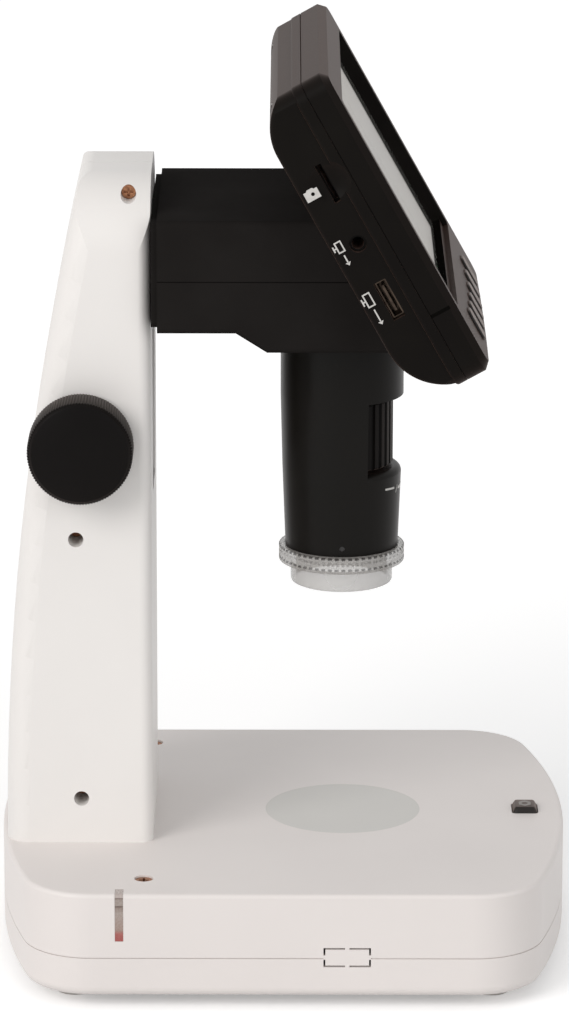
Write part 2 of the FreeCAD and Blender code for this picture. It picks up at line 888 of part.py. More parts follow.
def shaft_bushes():
    bushes = []
    for side in (-1, 1):
        wall_in = side * (column_half_width - column_wall)
        out = side * (column_half_width + 0.4)
        inner = wall_in - side * bush_inner_length
        tube = cylinder(bush_r, (out, knob_y, knob_z), (inner, knob_y, knob_z))
        flange = cylinder(bush_flange_r, (wall_in - side * 1.5, knob_y, knob_z), (wall_in, knob_y, knob_z))
        bore = cylinder(shaft_r + running_fit, (out + side, knob_y, knob_z), (inner - side, knob_y, knob_z))
        bushes.append(fuse([tube, flange]).cut(bore))
    return group(bushes)


def focus_knob(side):
    back = side * (column_half_width + knob_gap)
    front = back + side * knob_width
    radius = knob_r if side < 0 else right_knob_r
    disc = cylinder(radius, (back, knob_y, knob_z), (front, knob_y, knob_z))
    rims = [e for e in disc.Edges if abs(e.CenterOfMass.x - front) < 1e-3 and e.Length > 50]
    disc = disc.makeChamfer(knob_chamfer, rims)
    hollow = cylinder(radius - knob_wall, (back - side, knob_y, knob_z),
                      (back + side * knob_hollow_depth, knob_y, knob_z))
    hub = cylinder(knob_hub_r, (back, knob_y, knob_z), (back + side * (knob_hollow_depth + 1.0), knob_y, knob_z))
    bore_end = column_half_width + knob_gap + knob_width - 3.0
    bore = cylinder(shaft_r, (0, knob_y, knob_z), (side * bore_end, knob_y, knob_z))
    return fuse([disc.cut(hollow), hub]).cut(bore)


# Display head

def face_point(x, s, t):
    """A point that lies s down the screen's face from its top edge and t in front of it."""
    return Vector(x, display_edge_y - s * math.sin(tilt) - t * math.cos(tilt),
                  display_edge_z - s * math.cos(tilt) + t * math.sin(tilt))


face_frame = FreeCAD.Placement(face_point(0, 0, 0), FreeCAD.Rotation(Vector(1, 0, 0), 90 - display_tilt))


def on_face(shape):
    shape.Placement = face_frame.multiply(shape.Placement)
    return shape


def face_box(x0, x1, s0, s1, t0, t1):
    return on_face(Part.makeBox(x1 - x0, s1 - s0, t1 - t0, Vector(x0, -s1, t0)))


def face_block(x0, x1, s0, s1, t0, t1, radius):
    block = Part.makeBox(x1 - x0, s1 - s0, t1 - t0, Vector(x0, -s1, t0))
    return on_face(round_upright(block, radius))


def face_cylinder(radius, x, s, t0, t1):
    return on_face(Part.makeCylinder(radius, t1 - t0, Vector(x, -s, t0)))


def display_blank(inset, t0, t1):
    """The screen's outline with rounded corners and a slightly bowed lower edge, still unplaced."""
    half = display_half_width - inset
    top = -inset
    bottom = -display_height + inset
    bow = display_bottom_bow - inset
    end = bottom + bow - math.sqrt(bow ** 2 - half ** 2)
    edges = [
        line((-half, end, t0), (-half, top, t0)),
        line((-half, top, t0), (half, top, t0)),
        line((half, top, t0), (half, end, t0)),
        arc((half, end, t0), (0, bottom, t0), (-half, end, t0)),
    ]
    return round_upright(prism(edges, (0, 0, t1 - t0)), max(display_corner_r - inset, 0.8))


def back_side(inset):
    """The side outline of the rear bulge, still unplaced: flat back, an arc at each end."""
    x = -display_half_width - 5.0
    deep = back_t + inset
    top_r = back_top_arc_r - inset
    low_r = back_bottom_arc_r - inset
    top_c = (-back_top_arc_s, back_t + back_top_arc_r)
    low_c = (-back_bottom_arc_s, back_t + back_bottom_arc_r)
    front = lip_t + 2.0
    top_dx = math.sqrt(top_r ** 2 - (front - top_c[1]) ** 2)
    low_dx = math.sqrt(low_r ** 2 - (front - low_c[1]) ** 2)
    d = math.sqrt(0.5)
    edges = [
        line((x, low_c[0] - low_dx, front), (x, top_c[0] + top_dx, front)),
        arc((x, top_c[0] + top_dx, front), (x, top_c[0] + top_r * d, top_c[1] - top_r * d), (x, top_c[0], deep)),
        line((x, top_c[0], deep), (x, low_c[0], deep)),
        arc((x, low_c[0], deep), (x, low_c[0] - low_r * d, low_c[1] - low_r * d), (x, low_c[0] - low_dx, front)),
    ]
    return prism(edges, (-2 * x, 0, 0))


def back_bulge(inset):
    half = display_half_width - back_inset - inset
    slab = Part.makeBox(2 * half, 2 * display_height, 40, Vector(-half, -1.5 * display_height, back_t - 5))
    return back_side(inset).common(slab)


def display_rear_outer():
    lip = display_blank(0.0, lip_t, shell_seam_t)
    low = [e for e in lip.Edges if is_level(e, lip_t)]
    lip = lip.makeFillet(lip_edge_r, low)
    bulge = back_bulge(0.0)
    half = display_half_width - back_inset
    rim = [e for e in bulge.Edges if abs(abs(e.CenterOfMass.x) - half) < 1e-3 and e.CenterOfMass.z < lip_t]
    bulge = bulge.makeFillet(back_edge_r, rim)
    return lip.fuse(bulge.common(display_blank(0.3, back_t - 1, shell_seam_t)))


def display_envelope(gap):
    """The head's outer form, grown by a gap on every side."""
    body = display_blank(-gap, lip_t - gap, face_t)
    return on_face(body.fuse(back_bulge(-gap)))


ribbon_width = 12.0
ribbon_slot_s = (64.0, 70.0)
lip_edge_r = 1.0
back_edge_r = 1.2
display_boss_places = [(sx * display_boss_x, s) for sx in (-1, 1) for s in display_boss_ss]
display_screw_seat_t = back_t + display_screw_depth
main_board_t = -12.0
front_boss_t = main_board_t + board_thickness
keypad_board_t = -7.4
key_flange_t = window_level_t - seat_gap
key_dome_height = 0.8
key_dome_r = 2.2
key_stem_r = 1.4
port_wall_x = -display_half_width + back_inset + display_wall


def display_seam_cut():
    t0, t1 = shell_seam_t - groove_half_width, shell_seam_t + groove_half_width
    return display_blank(-1.0, t0, t1).cut(display_blank(groove_depth, t0, t1))


def side_opening(s, t, length, height):
    """A rectangular hole through the head's near side wall."""
    return Part.makeBox(8, length, height, Vector(-display_half_width - 1, -s - length / 2, t - height / 2))


def display_rear_shell():
    outer = display_rear_outer()
    inner = display_blank(display_wall, lip_t + 0.6, shell_seam_t + 1)
    hollow = back_bulge(display_wall).common(display_blank(display_wall, back_t, shell_seam_t))
    shell = outer.cut(inner).cut(hollow)
    bosses = [Part.makeCylinder(display_boss_r, main_board_t - back_t, Vector(x, -s, back_t)).common(outer)
              for x, s in display_boss_places]
    shell = fuse([shell] + bosses)
    tools = [display_seam_cut()]
    for x, s in display_boss_places:
        tools.append(Part.makeCylinder(screw_r + through_clearance, 20, Vector(x, -s, back_t - 1)))
        tools.append(Part.makeCylinder(screw_head_r + head_clearance, display_screw_depth + 1,
                                       Vector(x, -s, back_t - 1)))
    half = ribbon_width / 2 + 1.5
    tools.append(Part.makeBox(2 * half, ribbon_slot_s[1] - ribbon_slot_s[0], 8,
                              Vector(-half, -ribbon_slot_s[1], back_t - 2)))
    wall_x = -display_half_width
    tools.append(side_opening(card_slot_s, card_slot_t, card_slot_length, card_slot_height))
    scoop_x = wall_x - card_scoop_r + card_scoop_depth
    tools.append(Part.makeSphere(card_scoop_r, Vector(scoop_x, -card_slot_s, card_slot_t)))
    tools.append(Part.makeCylinder(jack_r + 0.75, 8, Vector(wall_x - 1, -jack_s, port_t), Vector(1, 0, 0)))
    tools.append(side_opening(video_port_s, port_t, video_port_length, video_port_height))
    return on_face(cut(shell, tools))


def display_front_shell():
    body = display_blank(0.0, shell_seam_t, face_t)
    front = [e for e in body.Edges if is_level(e, face_t)]
    body = body.makeChamfer(face_chamfer, front)
    inner = display_blank(display_wall, shell_seam_t - 1, window_level_t)
    shell = body.cut(inner)
    posts = [Part.makeCylinder(display_boss_r, window_level_t - front_boss_t, Vector(x, -s, front_boss_t))
             for x, s in display_boss_places]
    low = keypad_board_t + board_thickness
    posts += [Part.makeCylinder(key_stem_r, window_level_t - low, Vector(x, -keypad_post_s, low))
              for x in (-keypad_post_x, 0.0, keypad_post_x)]
    inside = display_blank(0.3, front_boss_t - 1, window_level_t)
    shell = fuse([shell] + [post.common(inside) for post in posts])
    width = 2 * window_half_width
    height = window_bottom_s - window_top_s
    opening = Part.makeBox(width, height, 10,
                           Vector(-window_half_width, -window_bottom_s, window_level_t - 1))
    step = Part.makeBox(width, height + window_step, 10,
                        Vector(-window_half_width, -window_bottom_s - window_step, window_step_t))
    tools = [round_upright(opening, 1.5), round_upright(step, 1.5), display_seam_cut()]
    for i in range(key_count):
        tools.append(key_prism(i, key_gap, window_level_t - 1, face_t + 1))
    for x, s in display_boss_places:
        tools.append(Part.makeCylinder(screw_r + thread_clearance, 7, Vector(x, -s, front_boss_t - 1)))
    return on_face(cut(shell, tools))


def key_place(i):
    x = (i - (key_count - 1) / 2) * key_pitch
    rise = key_row_bow - math.sqrt(key_row_bow ** 2 - x ** 2)
    return x, key_top_s - rise, key_bottom_s - rise * 0.4


def key_prism(i, grow, t0, t1):
    x, top, bottom = key_place(i)
    half = key_width / 2 + grow
    block = Part.makeBox(2 * half, bottom - top + 2 * grow, t1 - t0, Vector(x - half, -bottom - grow, t0))
    return round_upright(block, key_corner_r + grow)


def menu_key(i):
    low = key_flange_t - key_flange_thickness
    cap = key_prism(i, 0.0, low, face_t + key_proud)
    top = [e for e in cap.Edges if is_level(e, face_t + key_proud)]
    cap = cap.makeFillet(0.45, top)
    x, s0, s1 = key_place(i)
    half = key_width / 2 + key_flange
    flange = Part.makeBox(2 * half, s1 - s0 + 0.8, key_flange_thickness, Vector(x - half, -s1 - 0.4, low))
    stem_low = keypad_board_t + board_thickness + key_dome_height + key_travel + seat_gap
    stem = Part.makeCylinder(key_stem_r, key_flange_t - 0.5 - stem_low, Vector(x, -(s0 + s1) / 2, stem_low))
    return on_face(fuse([cap, flange, stem]))


def keypad_board():
    board = Part.makeBox(2 * keypad_half_width, keypad_board_bottom_s - keypad_board_top_s, board_thickness,
                         Vector(-keypad_half_width, -keypad_board_bottom_s, keypad_board_t))
    top = keypad_board_t + board_thickness
    domes = []
    for i in range(key_count):
        x, s0, s1 = key_place(i)
        domes.append(Part.makeCylinder(key_dome_r, key_dome_height, Vector(x, -(s0 + s1) / 2, top)))
    return on_face(fuse([board] + domes))


def lcd_window():
    return face_block(-window_half_width - glass_margin, window_half_width + glass_margin,
                      window_top_s - glass_margin, window_bottom_s + glass_margin,
                      window_level_t - glass_thickness, window_level_t, 1.5)


def lcd_panel():
    top = window_level_t - glass_thickness
    half = display_half_width - display_wall - 0.8
    return face_block(-half, half, window_top_s - 1.0, window_bottom_s + lcd_margin, top - lcd_thickness, top, 1.0)


def main_board():
    half = -port_wall_x - board_margin
    board = face_box(-half, half, board_top_s, board_bottom_s, main_board_t, main_board_t + board_thickness)
    holes = [face_cylinder(screw_r + 0.3, x, s, main_board_t - 1, main_board_t + 3) for x, s in display_boss_places]
    chips = [face_block(-8, 8, 30, 46, main_board_t - 1.6, main_board_t, 0.6),
             face_block(14, 26, 34, 44, main_board_t - 1.3, main_board_t, 0.6),
             face_block(-8, 8, 58, 62, main_board_t - ribbon_plug_height, main_board_t, 0.6)]
    return cut(fuse([board] + chips), holes)


ribbon_plug_height = 2.0


def card_socket():
    x = port_wall_x + card_socket_recess
    low, high = card_slot_s - card_slot_length / 2, card_slot_s + card_slot_length / 2
    t = card_slot_t
    body = face_box(x, x + 14, low - 1, high + 1, t - 1.6, main_board_t)
    mouth = face_box(x - 1, x + 12.5, low + 0.6, high - 0.6, t - 0.5, t + 0.5)
    return body.cut(mouth)


def av_jack():
    x = port_wall_x
    body = face_box(x, x + 14, jack_s - 3.2, jack_s + 3.2, port_t - 3.0, main_board_t)
    nose = on_face(Part.makeCylinder(jack_r + 0.7, 1.2, Vector(x - 0.8, -jack_s, port_t), Vector(1, 0, 0)))
    bore = on_face(Part.makeCylinder(jack_r, 14, Vector(x - 2.5, -jack_s, port_t), Vector(1, 0, 0)))
    return fuse([body, nose]).cut(bore)


def video_port():
    x = port_wall_x
    s = video_port_s
    half = video_port_length / 2 - 0.3
    thick = video_port_height / 2 - 0.2
    body = face_box(x - 0.2, x + 8, s - half, s + half, port_t - thick, port_t + thick)
    mouth = face_box(x - 3, x + 6, s - half + 0.4, s + half - 0.4, port_t - thick + 0.4, port_t + thick - 0.4)
    tongue = face_box(x + 0.4, x + 7, s - half + 1.7, s + half - 1.7, port_t - 0.35, port_t + 0.35)
    foot = face_box(x, x + 8, s - half, s + half, port_t + thick, main_board_t)
    return fuse([body.cut(mouth), tongue, foot])


def display_screws():
    screws = []
    for x, s in display_boss_places:
        seat = face_point(x, s, display_screw_seat_t)
        tip = face_point(x, s, front_boss_t + 4.0)
        top = face_point(x, s, back_t)
        screws.append(pan_screw(tuple(tip), tuple(seat), tuple(top)))
    return group(screws)


# Arm

plate_back_y = column_front_y - column_running_gap
plate_front_y = plate_back_y - mount_plate_thickness


def arm_side(inset):
    """The arm's side outline, from the mount plate to well inside the screen's back."""
    x = -arm_half_width + inset
    rear = plate_front_y
    front = -70.0
    top = arm_top_z - inset
    low_rear = arm_rear_bottom_z + inset
    low_front = arm_front_bottom_z + inset
    points = [(x, rear, low_rear), (x, rear, top), (x, front, top), (x, front, low_front),
              (x, arm_slope_front_y - inset * 0.3, low_front), (x, arm_slope_rear_y - inset * 0.3, low_rear)]
    return polygon_prism(points, (2 * (arm_half_width - inset), 0, 0))


def behind_back(gap):
    """Everything on the column's side of the screen's flat back."""
    depth = 120.0
    return face_box(-100, 100, -150, 200, back_t - gap - depth, back_t - gap)


def arm_outer():
    body = arm_side(0.0)
    lengthwise = [e for e in body.Edges if abs(abs(e.CenterOfMass.x) - arm_half_width) < 1e-3
                  and abs(e.Vertexes[0].Y - e.Vertexes[-1].Y) > 1]
    body = body.makeFillet(arm_edge_r, lengthwise)
    return body.common(behind_back(0.0))


def arm_cavity():
    inner = arm_side(arm_wall)
    keep = box(-100, 100, -100, plate_front_y - 2.6, 0, 300)
    return inner.common(keep)


arm_boss_places = [(sx * 31.0, y) for sx in (-1, 1) for y in (29.0, 0.0)]
arm_boss_r = 3.6
arm_screw_seat_z = 193.4


def arm_seam_cut():
    z0, z1 = arm_seam_z - groove_half_width, arm_seam_z + groove_half_width
    w = arm_half_width
    return box(-w - 1, w + 1, -100, 60, z0, z1).cut(box(-w + groove_depth, w - groove_depth, -110, 70, z0, z1))


def arm_shell(low, high):
    shell = arm_outer().cut(arm_cavity())
    return shell.common(box(-60, 60, -100, 60, low, high))


def arm_rear_holes():
    holes = []
    for x, z in mount_screw_places:
        holes.append(cylinder(screw_r + 0.2, (x, plate_front_y - 5, z), (x, plate_back_y + 1, z)))
    return holes


def arm_upper_shell():
    shell = arm_shell(arm_seam_z, arm_top_z + 1)
    bosses = [upright(arm_boss_r, x, y, arm_seam_z - 4.0, arm_top_z - arm_wall + 0.2) for x, y in arm_boss_places]
    shell = fuse([shell] + bosses)
    tools = [upright(screw_r + thread_clearance, x, y, arm_seam_z - 5, arm_seam_z + 10) for x, y in arm_boss_places]
    tools.append(arm_seam_cut())
    return cut(shell, tools + arm_rear_holes())


def arm_boss_floor(y):
    return arm_rear_bottom_z if y > arm_slope_rear_y else arm_front_bottom_z


def arm_lower_shell():
    shell = arm_shell(0, arm_seam_z)
    bosses = [upright(arm_boss_r, x, y, arm_boss_floor(y) + 1.0, arm_seam_z - 4.0 - seat_gap)
              for x, y in arm_boss_places]
    shell = fuse([shell] + bosses)
    tools = [upright(tube_neck_r + 0.1, 0, axis_y, 180, arm_front_bottom_z + arm_wall + 1)]
    for x, y in arm_boss_places:
        seat = arm_boss_floor(y) + 4.0
        tools.append(upright(screw_r + 0.2, x, y, 180, arm_seam_z))
        tools.append(upright(screw_head_r + head_clearance, x, y, 180, seat))
    for x, y in tube_screw_places:
        tools.append(upright(screw_r + 0.1, x, y, 180, arm_front_bottom_z + arm_wall + 1))
    tools.append(arm_seam_cut())
    return cut(shell, tools + arm_rear_holes())


def arm_screws():
    screws = []
    for x, y in arm_boss_places:
        seat = arm_boss_floor(y) + 4.0
        screws.append(pan_screw((x, y, arm_seam_z + 8.0), (x, y, seat), (x, y, 0)))
    return group(screws)


def arm_mount_plate():
    half = arm_half_width - mount_plate_inset
    low, high = arm_rear_bottom_z + mount_plate_inset, arm_top_z - mount_plate_inset
    plate = box(-half, half, plate_front_y, plate_back_y, low, high)
    edges = [e for e in plate.Edges if abs(e.Vertexes[0].Y - e.Vertexes[-1].Y) > 1]
    plate = plate.makeFillet(2.0, edges)
    return cut(plate, arm_rear_holes())


def arm_fixing_screws():
    screws = []
    seat_y = plate_front_y - 2.6
    for x, z in mount_screw_places:
        screws.append(pan_screw((x, plate_back_y + 7.0, z), (x, seat_y, z), (x, seat_y - 3, z)))
    return group(screws)


# Camera tube

tube_top_z = arm_front_bottom_z
tube_screw_places = [(sx * 13.6, axis_y + 3.0) for sx in (-1, 1)]
sensor_board_z = 181.0
lens_ledge_r = 11.0
led_board_z = 127.6
led_board_inner_r = 9.9
led_ring_r = 12.4
ring_led_count = 8
barrel_bottom_z = 129.6


def camera_tube():
    lower = cone(tube_rim_r, tube_shoulder_r, 0, axis_y, tube_rim_z, tube_shoulder_z)
    middle = cone(tube_shoulder_r, tube_collar_r, 0, axis_y, tube_shoulder_z, tube_collar_z)
    collar = upright(tube_collar_r, 0, axis_y, tube_collar_z, tube_top_z)
    neck = upright(tube_neck_r, 0, axis_y, tube_top_z - 1, tube_top_z + arm_wall)
    body = fuse([lower, middle, collar, neck])
    wheel_room_r = wheel_r + 0.35
    tools = [upright(tube_rim_r - tube_wall, 0, axis_y, tube_rim_z - 1, led_board_z + board_thickness)]
    tools.append(upright(lens_ledge_r, 0, axis_y, tube_rim_z, tube_top_z - tube_cap_thickness))
    tools.append(upright(wheel_room_r, 0, axis_y, wheel_bottom_z - 0.2, wheel_top_z + 0.2))
    tools.append(upright(tube_rim_r - tube_wall, 0, axis_y, wheel_top_z + 3.0, tube_top_z - tube_cap_thickness))
    tools.append(upright(tube_neck_r - 2.0, 0, axis_y, tube_top_z - 5, tube_top_z + 5))
    tools.append(tube_window())
    tools.append(cylinder(0.85, (-tube_rim_r - 3, axis_y, set_screw_z), (-lens_ledge_r, axis_y, set_screw_z)))
    slot = guide_slot_width / 2 + 0.1
    guide_low = led_board_z + board_thickness
    tools.append(box(-lens_ledge_r - 2.0, lens_ledge_r + 2.0, axis_y - slot, axis_y + slot, guide_low, wheel_bottom_z))
    for x, y in tube_screw_places:
        tools.append(upright(screw_r + 0.1, x, y, tube_top_z - 4, tube_top_z + 3))
    return cut(body, tools).cut(display_envelope(0.25))


set_screw_z = 123.6


def tube_window():
    """The front opening that bares the focusing wheel, over a floor with a rounded edge."""
    a = math.radians(window_half_angle)
    reach = 2 * tube_collar_r / math.cos(a)
    high = tube_collar_z
    low = tube_shoulder_z - 0.92 * tube_shoulder_edge_r
    x = reach * math.sin(a)
    y = reach * math.cos(a)
    points = [(0, axis_y, low), (-x, axis_y - y, low), (x, axis_y - y, low)]
    wedge = polygon_prism(points, (0, 0, high - low))
    core = upright(lens_ledge_r + 1.0, 0, axis_y, low, high)
    floor = cone(tube_rim_r, tube_shoulder_r, 0, axis_y, tube_rim_z, tube_shoulder_z)
    rim = [e for e in floor.Edges if is_level(e, tube_shoulder_z)]
    return wedge.cut(core).cut(floor.makeFillet(tube_shoulder_edge_r, rim))


def tube_screws():
    top = tube_top_z + arm_wall
    return group([pan_screw((x, y, tube_top_z - 1.6), (x, y, top), (x, y, top + 5)) for x, y in tube_screw_places])


def tube_set_screw():
    x0 = -tube_rim_r - 0.1
    screw = cylinder(0.8, (x0 + 0.5, axis_y, set_screw_z), (x0 + 2.0, axis_y, set_screw_z))
    return screw


def led_ring_board():
    r = tube_rim_r - tube_wall - 0.1
    board = upright(r, 0, axis_y, led_board_z, led_board_z + board_thickness - seat_gap)
    return board.cut(upright(led_board_inner_r, 0, axis_y, led_board_z - 1, led_board_z + 3))


def ring_leds():
    leds = []
    half = 1.3
    for i in range(ring_led_count):
        a = 2 * math.pi * (i + 0.5) / ring_led_count
        led = box(-half, half, -half, half, 0, 1.1)
        led.Placement = FreeCAD.Placement(Vector(led_ring_r * math.cos(a), axis_y + led_ring_r * math.sin(a),
                                                 led_board_z - 1.1),
                                          FreeCAD.Rotation(Vector(0, 0, 1), math.degrees(a)))
        leds.append(led)
    return group(leds)


def sensor_board():
    r = tube_rim_r - tube_wall - 0.3
    board = upright(r, 0, axis_y, sensor_board_z, sensor_board_z + board_thickness)
    chip = box(-5, 5, axis_y - 5, axis_y + 5, sensor_board_z - 1.8, sensor_board_z)
    plug = box(-7, 7, axis_y + 2, axis_y + 6, sensor_board_z + board_thickness, sensor_board_z + board_thickness + 1.5)
    return fuse([board, chip, plug])


def focus_wheel():
    wheel = upright(wheel_r, 0, axis_y, wheel_bottom_z, wheel_top_z)
    return wheel.cut(upright(wheel_bore_r, 0, axis_y, wheel_bottom_z - 1, wheel_top_z + 1))


def lens_barrel():
    r = wheel_bore_r - running_fit
    tube = upright(r, 0, axis_y, barrel_bottom_z + barrel_travel, barrel_bottom_z + barrel_travel + barrel_length)
    keys_z0, keys_z1 = wheel_bottom_z - 6.0 - barrel_travel, wheel_bottom_z - 1.0 - barrel_travel
    ribs = box(-lens_ledge_r - 1.6, lens_ledge_r + 1.6, axis_y - guide_slot_width / 2 + 0.1,
               axis_y + guide_slot_width / 2 - 0.1, keys_z0, keys_z1)
    body = fuse([tube, ribs])
    tools = [upright(r - barrel_wall, 0, axis_y, 0, 300)]
    tools.append(upright(lens_r + 0.02, 0, axis_y, barrel_bottom_z + barrel_travel - 1, lens_seat_z))
    return cut(body, tools)


lens_r = 7.6
lens_seat_z = barrel_bottom_z + barrel_travel + 3.0


def front_lens():
    low = barrel_bottom_z + barrel_travel + 0.6
    disc = upright(lens_r, 0, axis_y, low, lens_seat_z)
    return disc


def clear_cap():
    rim_r = tube_rim_r + 0.25
    flange = upright(cap_flange_r, 0, axis_y, cap_flange_bottom_z, cap_flange_top_z)
    ring = upright(cap_ring_r, 0, axis_y, cap_bottom_z, cap_flange_bottom_z + 1)
    low = [e for e in ring.Edges if is_level(e, cap_bottom_z)]
    ring = ring.makeFillet(0.7, low)
    body = fuse([flange, ring])
    shelf_z = tube_rim_z - seat_gap
    tools = [upright(rim_r, 0, axis_y, shelf_z, cap_flange_top_z + 1)]
    tools.append(upright(cap_ring_r - cap_ring_wall, 0, axis_y, cap_bottom_z - 1, shelf_z + 1))
    tools.append(upright(tube_rim_r - 0.4, 0, axis_y, cap_flange_bottom_z + 2.0, shelf_z - 1.2))
    return cut(body, tools)


def camera_ribbon():
    """The flat cable from the image sensor's board up through the arm to the main board."""
    half = ribbon_width / 2
    thick = 0.3
    low = sensor_board_z + board_thickness + 1.5
    y0 = axis_y + 4.0
    slot_s = (ribbon_slot_s[0] + ribbon_slot_s[1]) / 2
    target = face_point(0, 60.0, main_board_t - ribbon_plug_height - thick)
    through = face_point(0, slot_s, back_t - 2.5)
    inside = face_point(0, slot_s, back_t + 4.5)
    path = [(y0, low), (y0, through[2] - 4.0), (through[1], through[2]), (inside[1], inside[2]),
            (target[1], target[2])]
    pieces = []
    for (ya, za), (yb, zb) in zip(path, path[1:]):
        along = Vector(0, yb - ya, zb - za)
        length = along.Length
        turn = FreeCAD.Rotation(Vector(0, 0, 1), along)
        strip = Part.makeBox(ribbon_width, thick, length, Vector(-half, -thick / 2, 0))
        strip.Placement = FreeCAD.Placement(Vector(0, ya, za), turn)
        pieces.append(strip)
        joint = cylinder(thick / 2, (-half, yb, zb), (half, yb, zb))
        pieces.append(joint)
    return fuse(pieces[:-1])


def save(name, shape):
    solids = shape.Solids
    good = shape.isValid() and len(solids) > 0
    shape = solids[0] if len(solids) == 1 else Part.makeCompound(solids)
    shape.exportStep("parts/" + name + ".step")
    b = shape.BoundBox
    print(f"{name:24s} solids {len(solids)} valid {good} volume {shape.Volume:9.1f} "
          f"z {b.ZMin:7.2f} {b.ZMax:7.2f}")


os.makedirs("parts", exist_ok=True)

column = column_shell()
nodes = {
    "base_top_shell": base_top_shell(),
    "base_bottom_cover": base_bottom_cover(),
    "port_blanking_panel": port_blanking_panel(),
    "rubber_feet": rubber_feet(),
    "base_cover_screws": base_cover_screws(),
    "base_top_screws": base_top_screws(),
    "stage_plate": stage_plate(),
    "stage_light_board": stage_light_board(),
    "stage_leds": stage_leds(),
    "base_control_board": base_control_board(),
    "base_battery_pack": base_battery(),
    "ballast_plate": ballast_plate(),
    "charge_light_pipe": charge_light_pipe(),
    "dc_inlet": dc_inlet(),
    "column_left_half": column_half(column, -1),
    "column_right_half": column_half(column, 1),
    "column_side_screws": column_side_screws(),
    "column_foot_screws": column_foot_screws(),
    "guide_rods": guide_rods(),
    "guide_rod_plates": guide_rod_plates(),
    "shaft_bushes": shaft_bushes(),
    "focus_knob_left": focus_knob(-1),
    "focus_knob_right": focus_knob(1),
    "pinion_shaft": pinion_shaft(),
    "pinion": pinion(),
    "carriage": carriage(),
    "rack": rack(),
    "arm_mount_plate": arm_mount_plate(),
    "arm_fixing_screws": arm_fixing_screws(),
    "arm_upper_shell": arm_upper_shell(),
    "arm_lower_shell": arm_lower_shell(),
    "arm_screws": arm_screws(),
    "display_rear_shell": display_rear_shell(),
    "display_front_shell": display_front_shell(),
    "display_screws": display_screws(),
    "lcd_window": lcd_window(),
    "lcd_panel": lcd_panel(),
    "main_board": main_board(),
    "card_socket": card_socket(),
    "av_jack": av_jack(),
    "video_port": video_port(),
    "keypad_board": keypad_board(),
    "camera_tube": camera_tube(),
    "tube_screws": tube_screws(),
    "sensor_board": sensor_board(),
    "led_ring_board": led_ring_board(),
    "ring_leds": ring_leds(),
    "tube_set_screw": tube_set_screw(),
    "camera_ribbon": camera_ribbon(),
    "focus_wheel": focus_wheel(),
    "lens_barrel": lens_barrel(),
    "front_lens": front_lens(),
    "clear_cap": clear_cap(),
    "base_button": base_button(),
}
for i in range(key_count):
    nodes["menu_key_" + str(i + 1)] = menu_key(i)

for name, shape in nodes.items():
    save(name, shape)
print(len(nodes), "nodes")
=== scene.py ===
import math

import bmesh
import bpy
from mathutils import Matrix, Vector


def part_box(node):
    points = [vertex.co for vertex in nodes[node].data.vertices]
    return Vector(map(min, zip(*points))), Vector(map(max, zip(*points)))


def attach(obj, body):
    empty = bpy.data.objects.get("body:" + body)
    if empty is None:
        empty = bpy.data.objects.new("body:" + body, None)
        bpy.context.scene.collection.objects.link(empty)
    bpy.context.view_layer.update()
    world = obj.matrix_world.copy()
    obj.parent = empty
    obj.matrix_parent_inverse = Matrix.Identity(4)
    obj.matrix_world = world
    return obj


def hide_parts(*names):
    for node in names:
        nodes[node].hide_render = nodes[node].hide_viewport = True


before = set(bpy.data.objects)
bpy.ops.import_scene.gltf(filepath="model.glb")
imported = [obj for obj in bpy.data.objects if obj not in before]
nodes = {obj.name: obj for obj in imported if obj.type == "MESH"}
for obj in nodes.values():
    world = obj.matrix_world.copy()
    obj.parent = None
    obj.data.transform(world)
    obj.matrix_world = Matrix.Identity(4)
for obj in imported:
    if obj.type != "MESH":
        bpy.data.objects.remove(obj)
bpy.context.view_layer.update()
mm = 0.001
tau = 2 * math.pi
print("frame loaded:", len(nodes), "CAD nodes")


def linear(hexColour):
    # sRGB hex to the linear colour that the shader sockets take
    rgb = [int(hexColour[i:i + 2], 16) / 255 for i in (1, 3, 5)]
    return tuple(c / 12.92 if c <= 0.04045 else ((c + 0.055) / 1.055) ** 2.4 for c in rgb) + (1.0,)


def addNode(tree, kind, settings=None, links=None):
    node = tree.nodes.new(kind)
    for name, value in (settings or {}).items():
        if isinstance(name, int) or name in node.inputs:
            node.inputs[name].default_value = value
        else:
            setattr(node, name, value)
    for name, source in (links or {}).items():
        tree.links.new(source, node.inputs[name])
    return node


def newMaterial(name):
    material = bpy.data.materials.new(name)
    material.use_nodes = True
    tree = material.node_tree
    tree.nodes.clear()
    return material, tree, addNode(tree, "ShaderNodeTexCoord").outputs["Object"]


def surface(tree, settings, links):
    # The surface's shader, joined to the material's output
    shader = addNode(tree, "ShaderNodeBsdfPrincipled", settings, links)
    addNode(tree, "ShaderNodeOutputMaterial", links={"Surface": shader.outputs["BSDF"]})
    return shader


def ramp(tree, source, stops):
    # Each stop holds its place from 0 to 1, and a hex colour or an amount of grey
    node = addNode(tree, "ShaderNodeValToRGB", links={"Fac": source})
    elements = node.color_ramp.elements
    while len(elements) < len(stops):
        elements.new(0.5)
    for element, (place, colour) in zip(elements, stops):
        element.position = place
        element.color = linear(colour) if isinstance(colour, str) else (colour, colour, colour, 1)
    return node.outputs["Color"]


def speckle(tree, place, size, detail=2.0, fine=0.5):
    # Noise with features of a size in mm; fine is how strong its smaller features are
    settings = {"Scale": 1 / (size * mm), "Detail": detail, "Roughness": fine}
    return addNode(tree, "ShaderNodeTexNoise", settings, {"Vector": place}).outputs["Fac"]


def between(tree, source, limits):
    # A value from 0 to 1, laid out between two limits
    settings = {"To Min": limits[0], "To Max": limits[1]}
    return addNode(tree, "ShaderNodeMapRange", settings, {"Value": source}).outputs["Result"]


